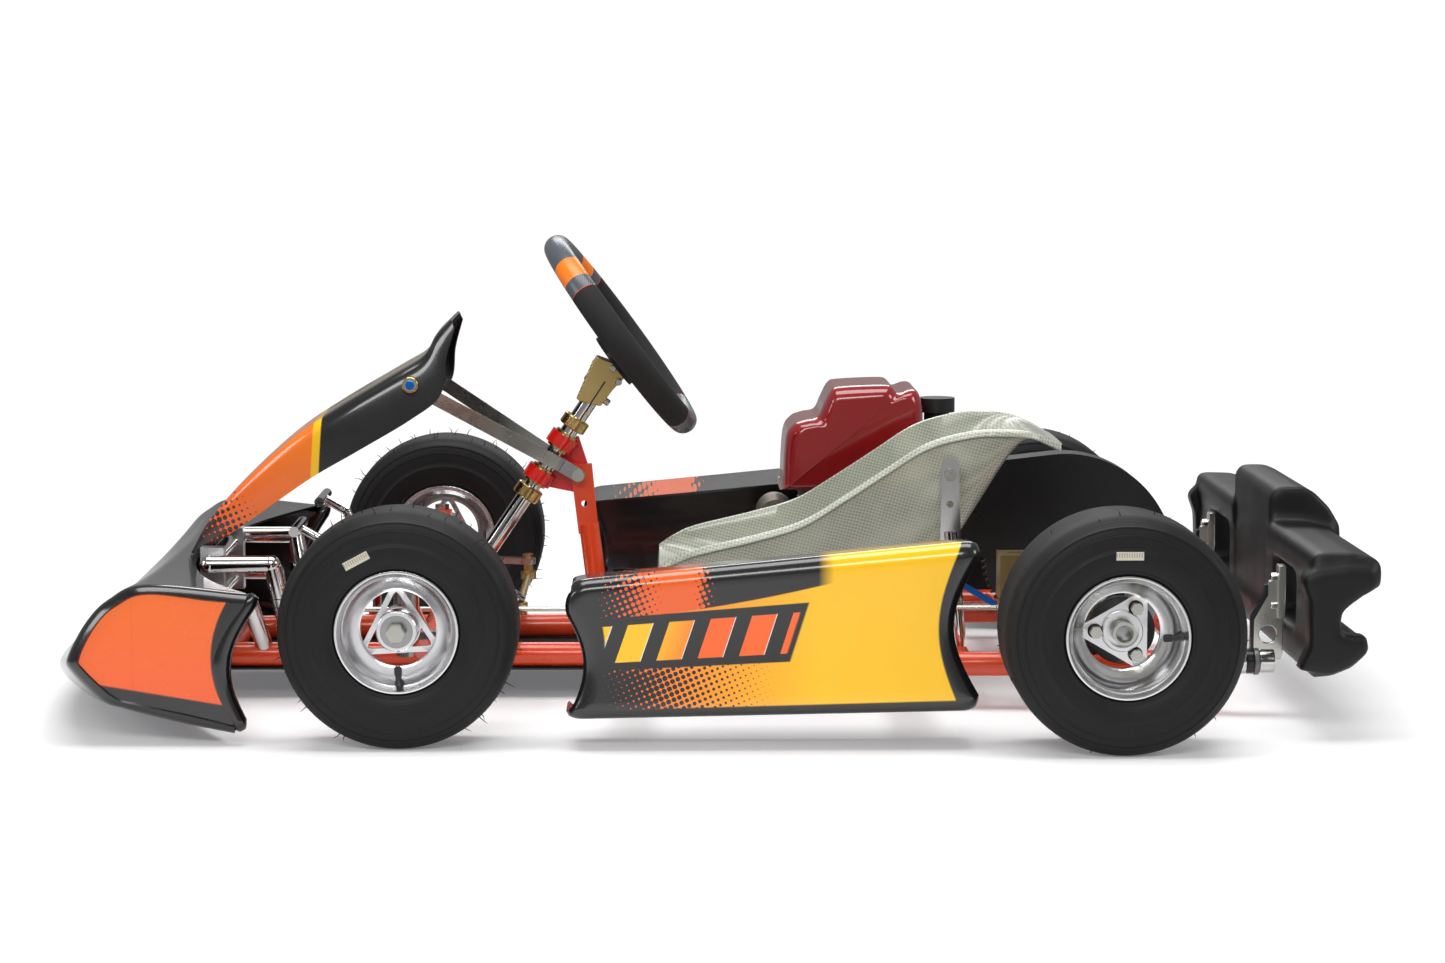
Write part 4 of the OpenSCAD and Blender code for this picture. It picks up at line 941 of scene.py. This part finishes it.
def panelGrid():
    rows = smoothLine(panel["rows"], panel["along"])
    line = smoothLine(panel["across"], panel["count"])
    back = np.array([0.42, -0.9])
    x = rows[:, 0][:, None] + rows[:, 3][:, None] * line[None, :, 1] * back[0]
    y = rows[:, 2][:, None] * line[None, :, 0]
    z = rows[:, 1][:, None] + rows[:, 3][:, None] * line[None, :, 1] * back[1]
    return np.stack([x, y, z], -1) * mm


def panelPaint():
    material, tree, shader = newMaterial("panelPaint", Coat_Weight=0.7, Coat_Roughness=0.06)
    place, x, y, z = objectXyz(tree)
    away = abs(y)
    # How far up the panel: along the line from its foot to its top
    along = (x + 0.607) * 0.75 + (z - 0.15) * 0.66
    depth = (x + 0.607) * 0.66 - (z - 0.15) * 0.75
    warm = mixColour(rise(along, 0.02, 0.2), (0.92, 0.1, 0.008), (0.97, 0.2, 0.008))
    dots = output(placeGroup(tree, halftone,
                          {"Across": x, "Up": z, "Cell": 0.0075, "Size": rise(along, 0.12, 0.05) * 0.85}))
    warm = mixColour(dots * 0.95, warm, colours["black"])
    # Yellow tip, then black above a slanted line
    cut = along - depth * -1.0
    paint = mixColour(rise(cut, 0.205, 0.207), warm, colours["yellow"])
    paint = mixColour(rise(cut, 0.218, 0.22), paint, colours["black"])
    paint = mixColour(rise(along, 0.04, 0.038), paint, colours["black"])
    stripes = rise(away, 0.062, 0.06) * rise(away, 0.048, 0.05)
    paint = mixColour(stripes * rise(along, 0.19, 0.2), paint, colours["yellow"])
    middle = rise(away, 0.036, 0.034) * rise(along, 0.3, 0.31)
    paint = mixColour(middle, paint, (0.25, 0.25, 0.26))
    rimLine = rise(depth, 0.05, 0.052) * rise(away, 0.05, 0.055)
    paint = mixColour(rimLine, paint, colours["black"])
    plug(tree, paint, shader.inputs["Base Color"])
    made = placeGroup(tree, grain, {"Vector": place, "Scale": 60.0, "Roughness": 0.27, "Spread": 0.06})
    plug(tree, output(made, "Roughness"), shader.inputs["Roughness"])
    return material


points, faces = thickSheet(panelGrid(), panel["wall"] * mm)
makePiece("front_panel_shell", points, faces, panelPaint(), "chassis", ["front_panel"], 50,
          inner=(glossBlack, sheetFront(panelGrid())))
print("stage: front panel made")

# Steering wheel

wheel = {"middle": (-94, 0, 415), "lean": math.atan2(0.808, 0.589), "ring": 130, "grip": (14.2, 16.0),
         "steps": 160, "round": 36, "flat": 9}


# The rim's round section is slightly deeper than wide and swells at the hands
def gripGrid():
    turn = np.linspace(0, 2 * math.pi, wheel["steps"], endpoint=False)[:, None]
    about = np.linspace(0, 2 * math.pi, wheel["round"], endpoint=False)[None, :]
    swell = 1 + 0.05 * np.cos(2 * (turn - math.pi / 2))
    seam = 1 - 0.035 * np.exp(-((np.abs(about - math.pi)) / 0.09) ** 2)
    ring = wheel["ring"] - wheel["flat"] * np.clip(np.cos(turn) - 0.55, 0, 1) ** 1.2
    r = ring + wheel["grip"][0] * swell * seam * np.cos(about)
    h = wheel["grip"][1] * swell * seam * np.sin(about) + 0 * turn
    # On the wheel's face: down is the first direction, across the second, out of the face the third
    down, across = r * np.cos(turn), r * np.sin(turn)
    c, s = math.cos(wheel["lean"]), math.sin(wheel["lean"])
    x = wheel["middle"][0] + c * down + s * h
    z = wheel["middle"][2] - s * down + c * h
    return np.stack([x, across, z], -1) * mm


def gripSkin():
    material, tree, shader = newMaterial("gripSkin", Coat_Weight=0.0)
    place, x, y, z = objectXyz(tree)
    c, s = math.cos(wheel["lean"]), math.sin(wheel["lean"])
    dx = x - wheel["middle"][0] * mm
    dz = z - wheel["middle"][2] * mm
    down = dx * c - dz * s
    out = dx * s + dz * c
    turn = abs(calc(tree, "ARCTAN2", y, down))  # 0 at the bottom, pi at the top
    degrees = turn * (180 / math.pi)
    # Twill weave for the smooth parts
    diagonal = degrees * 1.9 + out * 1500.0
    twill = sine(diagonal) * sine(degrees * 5.2 - out * 1500.0)
    carbon = mixColour(rise(twill, -0.8, 0.8), (0.035, 0.042, 0.052), (0.13, 0.15, 0.175))
    suedeNoise = addNode(tree, "ShaderNodeTexNoise", {"Vector": place, "Scale": 900.0, "Detail": 4.0})
    nap = addNode(tree, "ShaderNodeTexNoise", {"Vector": place, "Scale": 30.0, "Detail": 3.0})
    suede = mixColour(output(nap), (0.006, 0.006, 0.006), (0.016, 0.015, 0.015))
    hands = rise(degrees, 31.0, 31.4) * rise(degrees, 122.4, 122.0)
    paint = mixColour(hands, carbon, suede)
    band = rise(degrees, 129.6, 130.0) * rise(degrees, 143.4, 143.0)
    paint = mixColour(band, paint, (0.98, 0.22, 0.01))
    stitches = sine(out * 2600.0) > -0.2
    for at in (31.2, 122.2):
        line = abs(degrees - at) < 0.32
        paint = mixColour(line * stitches, paint, (0.75, 0.06, 0.02))
    plug(tree, paint, shader.inputs["Base Color"])
    plug(tree, 0.3 + hands * 0.55, shader.inputs["Roughness"])
    height = output(suedeNoise) * hands * 1.2 + twill * 0.08
    bump = addNode(tree, "ShaderNodeBump", {"Height": height, "Strength": 0.3, "Distance": 0.0006})
    plug(tree, output(bump), shader.inputs["Normal"])
    return material


points = gripGrid()
makePiece("wheel_grip", points, gridFaces(wheel["steps"], wheel["round"], True, True), gripSkin(), "steering",
          ["wheel_rim"], 60)
print("stage: steering wheel made")

# Engine cover

cover = {
    "outline": [(105, 214), (108, 208), (190, 206), (272, 208), (279, 216), (280, 296), (278, 318), (272, 332),
                (262, 334), (248, 330), (240, 338), (228, 340), (180, 338), (166, 334), (156, 316), (148, 300),
                (132, 296), (118, 290), (108, 272)],
    "y": (170, 324), "along": 33, "round": 110, "corner": 22,
}


# The cover is its side outline carried across, drawn in towards both ends so that its edges are round
def coverGrid():
    outline = smoothLine(cover["outline"], cover["round"], closed=True)
    y0, y1 = cover["y"]
    s = np.linspace(0, math.pi, cover["along"])
    y = (y0 + y1) / 2 - (y1 - y0) / 2 * np.cos(s)
    near = np.minimum(y - y0, y1 - y)
    tuck = cover["corner"] * (1 - np.sqrt(np.clip(1 - (1 - np.clip(near / cover["corner"], 0, 1)) ** 2, 0, 1)))
    centre = np.array([192.0, 262.0])
    away = outline - centre
    size = np.linalg.norm(away, axis=1)[:, None]
    rings = outline[None] - away[None] / size[None] * tuck[:, None, None] * 0.8
    grid = np.stack([rings[..., 0], np.broadcast_to(y[:, None], rings.shape[:2]), rings[..., 1]], -1) * mm
    n = cover["round"]
    faces = list(gridFaces(cover["along"], n, False, True))
    faces += [list(range(n))[::-1], list(range((cover["along"] - 1) * n, cover["along"] * n))]
    return grid, faces


points, faces = coverGrid()
makePiece("engine_hood", points, faces, finishes["engine_red"], "chassis", ["engine_cover"], 40)
print("stage: engine cover made")

# Rear bumper

# A plate drawn in the side view as (x, z), standing from one y to another
def plateShape(outline, low, high):
    n = len(outline)
    rows = np.array([[(x, level, z) for x, z in outline] for level in (low, high)]) * mm
    return rows, list(gridFaces(2, n, False, True)) + [list(range(n))[::-1], list(range(n, 2 * n))]


bumper = {
    "outlines": {
        "end": [(643, 78), (655, 104), (653, 154), (645, 176), (652, 186), (695, 192), (724, 190),
                (726, 167), (710, 158), (690, 142), (688, 120), (700, 116), (718, 116), (719, 97), (700, 82),
                (679, 74)],
        "upper": [(658, 172), (656, 200), (664, 207), (700, 206), (728, 199), (734, 190), (733, 168),
                  (716, 163)],
        "lower": [(660, 68), (657, 76), (657, 100), (662, 106), (718, 112), (722, 100), (704, 80), (680, 70)],
        "post": [(660, 90), (660, 190), (690, 192), (694, 150), (690, 96)],
        "hump": [(662, 90), (660, 236), (668, 247), (696, 247), (712, 240), (730, 222), (742, 202),
                 (744, 178), (734, 166), (722, 150), (720, 104), (700, 84)],
    },
    "across": [("hump", -124, 124), ("lower", -392, 392)],
    "eachSide": [("end", 368, 402), ("upper", 110, 394), ("post", 110, 152), ("post", 282, 372)],
    "voxel": 0.0036, "softening": 14,
}


# Overlapping blocks are melted into one moulding: a new even skin over all of them, then smoothed
def makeBumper():
    shapes = shapeList()
    blocks = list(bumper["across"])
    for side in (-1, 1):
        blocks += [(kind, *sorted((side * first, side * last))) for kind, first, last in bumper["eachSide"]]
    for kind, first, last in blocks:
        shapes.add(*plateShape(bumper["outlines"][kind], first, last))
    points, faces = shapes.all()
    piece = makePiece("bumper_moulding", points, faces, finishes["bumper_black"], "chassis",
                      ["rear_bumper"], 180)
    melt = piece.modifiers.new("melt", "REMESH")
    melt.mode = "VOXEL"
    melt.voxel_size = bumper["voxel"]
    melt.use_smooth_shade = True
    soft = piece.modifiers.new("soft", "SMOOTH")
    soft.factor = 0.5
    soft.iterations = bumper["softening"]


makeBumper()


# A bar turned about a line, from stations of (distance along, radius)
def turnedBar(start, direction, stations, steps=32):
    line = [np.array(start, float) + np.array(direction, float) * along for along, _ in stations]
    return roundBar(np.array(line) * mm, [radius * mm for _, radius in stations], steps)


def roundedStations(low, high, r, edge=0.8):
    return [(low, 0.3), (low + 0.02, r - edge), (low + edge, r), (high - edge, r), (high - 0.02, r - edge),
            (high, 0.3)]


def bevelled(piece, width=0.0008):
    edge = piece.modifiers.new("edge", "BEVEL")
    edge.width = width
    edge.segments = 2
    edge.limit_method = "ANGLE"
    edge.angle_limit = math.radians(35)


# Brackets between the rails and the bumper: a necked plate with a round hole, a strap up the bumper, a bent
# front edge, and collars on the rail's end
bracket = {
    "y": 240, "hole": (638, 93), "holeR": 10, "half": 2.5, "steps": 40,
    "plate": [(621, 66), (655, 64), (655, 108), (650, 128), (649, 158), (638, 154), (636, 138), (629, 124),
              (621, 110)],
    "strap": [(648, 112), (656, 112), (656, 172), (648, 172)], "strapSpan": (-9, 9),
    "edge": [(618, 64), (621.5, 64), (621.5, 110), (637, 138), (637, 150), (633, 150), (632, 139), (618, 112)],
    "edgeSpan": (-6, 4),
    "collars": [(604, 613, 14.9, "chrome"), (613, 622, 14.4, "dark"), (622, 628, 15.6, "washer"),
                (628, 645, 14.3, "chrome")],
    "railZ": 62, "boltX": 640, "boltZ": (126, 158), "bolt": (8.5, 5.2),
}


# Where a ray from the hole at the angle a leaves the plate: the nearest crossing with one of its sides
def plateEdge(a):
    hole = np.array(bracket["hole"], float)
    d = np.array([math.cos(a), math.sin(a)])
    sides = np.array(bracket["plate"], float)
    p, e = sides - hole, np.roll(sides, -1, 0) - sides
    cross = d[0] * e[:, 1] - d[1] * e[:, 0]
    reach = (p[:, 0] * e[:, 1] - p[:, 1] * e[:, 0]) / cross
    share = (p[:, 0] * d[1] - p[:, 1] * d[0]) / cross
    return hole + d * reach[(reach > 0) & (share >= 0) & (share <= 1)].min()


def makeBrackets():
    groups = {kind: shapeList() for kind in ("plate", "chrome", "washer", "dark")}
    turn = np.linspace(0, 2 * math.pi, bracket["steps"], endpoint=False) + math.pi / 2
    x0, z0 = bracket["hole"]
    hole = [(x0 + bracket["holeR"] * math.cos(a), z0 + bracket["holeR"] * math.sin(a)) for a in turn]
    border = [plateEdge(a) for a in turn]
    for side in (-1, 1):
        y0, half = side * bracket["y"], bracket["half"]
        loops = [[(x, y0 + level, z) for x, z in line] for line, level in
                 ((hole, -half), (border, -half), (border, half), (hole, half))]
        groups["plate"].add(np.array(loops) * mm, gridFaces(4, bracket["steps"], True, True))
        for kind, outline, span in (("plate", "strap", "strapSpan"), ("dark", "edge", "edgeSpan")):
            low, high = bracket[span]
            groups[kind].add(*plateShape(bracket[outline], y0 + low, y0 + high))
        for low, high, r, kind in bracket["collars"]:
            groups[kind].add(*turnedBar((0, y0, bracket["railZ"]), (1, 0, 0), roundedStations(low, high, r)))
        for z in bracket["boltZ"]:
            groups["chrome"].add(*turnedBar((bracket["boltX"], y0, z), (1, 0, 0),
                                            roundedStations(0, *bracket["bolt"]), 6))
    for kind, name, finish, replaced in (("plate", "bumper_plates", "zinc", ["rear_bumper_brackets"]),
                                         ("chrome", "bumper_collars", "chrome", ()),
                                         ("washer", "bumper_washers", "engine_metal", ()),
                                         ("dark", "bumper_clamps", "guard_black", ())):
        points, faces = groups[kind].all()
        bevelled(makePiece(name, points, faces, finishes[finish], "chassis", replaced))


makeBrackets()
print("stage: rear bumper made")

# Straps, boss and collars round the steering column

strap = {"from": (-337, 366), "to": (-146, 250), "out": (97, 17.5), "half": 8.2, "thick": 2.6, "flat": 22}
column = {"foot": (-317.2, 0, 65), "way": (0.5615, 0, 0.8275), "cross": (0.8275, 0, -0.5615)}
boss = {"half": 17, "ribs": 9, "ribsFrom": (-146.5, 341.5), "ribsTo": (-126, 388),
        "front": [(-119, 332), (-144, 338)],
        "back": [(-124, 391), (-96, 381), (-90.5, 366), (-104, 352), (-110, 344)],
        "slot": [(-131.6, 336), (-130.2, 335), (-112.8, 361), (-114.2, 362)],
        "screws": [(-104, 377), (-97.5, 361)], "clampBolts": [(352, -21, -13), (340, 13, 21)]}


# A flat strap: its face keeps the side view's slope, and it bends inwards between its two flat ends. A round
# end narrows as a half circle.
def strapShape(side, low, high, outward, roundLow=False, roundHigh=False):
    a, b, full = np.array(strap["from"], float), np.array(strap["to"], float), strap["half"]
    length = np.linalg.norm(b - a)
    d = (b - a) / length
    w = np.array([-d[1], d[0]])
    crowd = (1 - np.cos(np.linspace(0, math.pi / 2, 14))) * full
    t = np.unique(np.concatenate([np.linspace(low, high, 60), low + crowd, high - crowd]))
    half = np.full_like(t, full)
    for rounded, past in ((roundLow, t - low), (roundHigh, high - t)):
        if rounded:
            half *= np.sqrt(np.clip(1 - np.clip(1 - past / full, 0, 1) ** 2, 0.0004, 1))
    bend = np.clip((t - strap["flat"]) / (length - 2 * strap["flat"]), 0, 1)
    near, far = strap["out"]
    y = side * (near + (far - near) * bend + outward)
    centre = a[None] + t[:, None] * d[None]
    thick = strap["thick"] / 2
    ring = [np.stack([centre[:, 0] + across * half * w[0], y + depth * thick,
                      centre[:, 1] + across * half * w[1]], -1)
            for across, depth in ((-1, -1), (1, -1), (1, 1), (-1, 1))]
    end = 4 * len(t) - 4
    faces = list(gridFaces(len(t), 4, False, True)) + [[3, 2, 1, 0], [end, end + 1, end + 2, end + 3]]
    return np.stack(ring, 1) * mm, faces


def makeSteeringParts():
    bars, ends, brass, screws, blue, heads = (shapeList() for _ in range(6))
    (x0, z0), (x1, z1) = strap["from"], strap["to"]
    for side in (-1, 1):
        bars.add(*strapShape(side, 17, 196, 2.7))
        ends.add(*strapShape(side, -8.2, 30, 0, roundLow=True))
        ends.add(*strapShape(side, 186, 231.6, 0, roundHigh=True))
        outwards = (0, side, 0)
        brass.add(*turnedBar((x0, side * 100, z0), outwards, roundedStations(0, 15.5, 9.2), 48))
        blue.add(*turnedBar((x0, side * 115, z0), outwards, roundedStations(0, 3.4, 5.4), 32))
        heads.add(*turnedBar((x1, side * 18.5, z1), outwards, roundedStations(0, 5.2, 5.0), 32))
        for x, z in boss["screws"]:
            screws.add(*turnedBar((x, side * 18, z), outwards, roundedStations(0, 5.4, 4.0), 32))
    foot, way = np.array(column["foot"]), np.array(column["way"])
    for low, high in ((190, 205), (290, 304)):
        brass.add(*turnedBar(foot, way, roundedStations(low, high, 16.5, 1.2), 64))
    for along, low, high in boss["clampBolts"]:
        at = foot + way * along + np.array([0, -9, 0])
        screws.add(*turnedBar(at, column["cross"], roundedStations(low, high, 4.2), 32))
    for group, name, finish, body, slot, replaced in (
            (bars, "panel_strap_bars", "zinc", "chassis", "zinc", ["panel_struts"]),
            (ends, "panel_strap_ends", "steel", "chassis", "zinc", ()),
            (brass, "brass_collars", "brass", "chassis", "brass", ()),
            (screws, "boss_screws", "zinc", "steering", "zinc", ()),
            (heads, "strap_bolts", "zinc", "chassis", "zinc", ()),
            (blue, "blue_bolts", "chain_blue", "chassis", "zinc", ())):
        points, faces = group.all()
        piece = makePiece(name, points, faces, finishes[finish], body, replaced)
        if name.startswith("panel"):
            bevelled(piece, 0.0005)


# The boss flares from the column's clamp to the wheel's plate, with ribs down its front edge and a slot
def makeBoss():
    ribs = []
    for k in range(boss["ribs"]):
        share = k / boss["ribs"]
        p = np.array(boss["ribsFrom"]) * (1 - share) + np.array(boss["ribsTo"]) * share
        ribs += [tuple(p + np.array([-1.5, 0.4])), tuple(p + np.array([0.9, 2.4]))]
    outline = boss["front"] + ribs + boss["back"]
    points, faces = plateShape(outline[::-1], -boss["half"], boss["half"])
    bevelled(makePiece("boss_block", points, faces, finishes["gold_anodised"], "steering",
                       ["steering_boss"], 30), 0.0012)
    points, faces = plateShape(boss["slot"], -boss["half"] - 0.6, boss["half"] + 0.6)
    makePiece("boss_slot", points, faces, finishes["cap_black"], "steering")


makeSteeringParts()
makeBoss()
print("stage: steering parts made")

# CAD nodes that keep their shape get their finish
slotOf = {row["node"]: row["material_slot"] for row in frame["record"]["subparts"]}
for name, node in nodes.items():
    finish = finishes.get(slotOf[name])
    if finish:
        node.data.materials.clear()
        node.data.materials.append(finish)
print("stage: frame finishes placed")

# Floor, light and world

def makeStage():
    reach = 14.0
    mesh = bpy.data.meshes.new("floor")
    mesh.from_pydata([(-reach, -reach, 0), (reach, -reach, 0), (reach, reach, 0), (-reach, reach, 0)], [],
                     [(0, 1, 2, 3)])
    floor = bpy.data.objects.new("floor", mesh)
    bpy.context.scene.collection.objects.link(floor)
    material, tree, shader = newMaterial("paperFloor", Roughness=0.8)
    # The paper gets brighter away from the kart until it is plain white
    _, x, y, _ = objectXyz(tree)
    radius = root(x ** 2.0 + y ** 2.0)
    far = rise(radius, 0.7, 2.2)
    plug(tree, mixColour(far, (0.9, 0.9, 0.905), (0.0, 0.0, 0.0)), shader.inputs["Base Color"])
    plug(tree, mixColour(far, (0.14, 0.14, 0.145), (1.0, 1.0, 1.0)), shader.inputs["Emission Color"])
    # Bright to the eye, dimmer as a lamp
    path = tree.nodes.new("ShaderNodeLightPath")
    strength = addNode(tree, "ShaderNodeMapRange",
                       {"Value": output(path, "Is Camera Ray"), "To Min": 0.3, "To Max": 1.0})
    plug(tree, output(strength, "Result"), shader.inputs["Emission Strength"])
    mesh.materials.append(material)
    lamps = {
        "overhead": ((0.0, -0.2, 3.0), (0, 0, 0), (3.2, 1.6), 80),
        "front": ((-0.6, -3.6, 2.2), (math.radians(58), 0, math.radians(-8)), (2.6, 0.8), 55),
        "left": ((-3.2, -1.2, 1.5), (math.radians(70), 0, math.radians(-70)), (1.2, 1.0), 22),
        "right": ((3.2, -1.2, 1.6), (math.radians(70), 0, math.radians(70)), (1.2, 1.0), 22),
        "behind": ((0.2, 3.4, 2.4), (math.radians(-56), 0, 0), (2.6, 1.0), 40),
    }
    for name, (place, turn, size, power) in lamps.items():
        data = bpy.data.lights.new(name, "AREA")
        data.shape = "RECTANGLE"
        data.size, data.size_y = size
        data.energy = power
        lamp = bpy.data.objects.new(name, data)
        lamp.location = place
        lamp.rotation_euler = turn
        bpy.context.scene.collection.objects.link(lamp)
    world = bpy.data.worlds.new("studio")
    world.use_nodes = True
    # White where it is seen straight on, and dimmer as a source of light, so that black stays black
    tree = world.node_tree
    path = tree.nodes.new("ShaderNodeLightPath")
    strength = addNode(tree, "ShaderNodeMapRange",
                       {"Value": output(path, "Is Camera Ray"), "To Min": 0.26, "To Max": 1.0})
    tree.nodes["Background"].inputs[0].default_value = (1, 1, 1, 1)
    plug(tree, output(strength, "Result"), tree.nodes["Background"].inputs[1])
    bpy.context.scene.world = world
    bpy.context.scene.view_settings.view_transform = "Standard"


makeStage()
print("stage: floor and light placed")
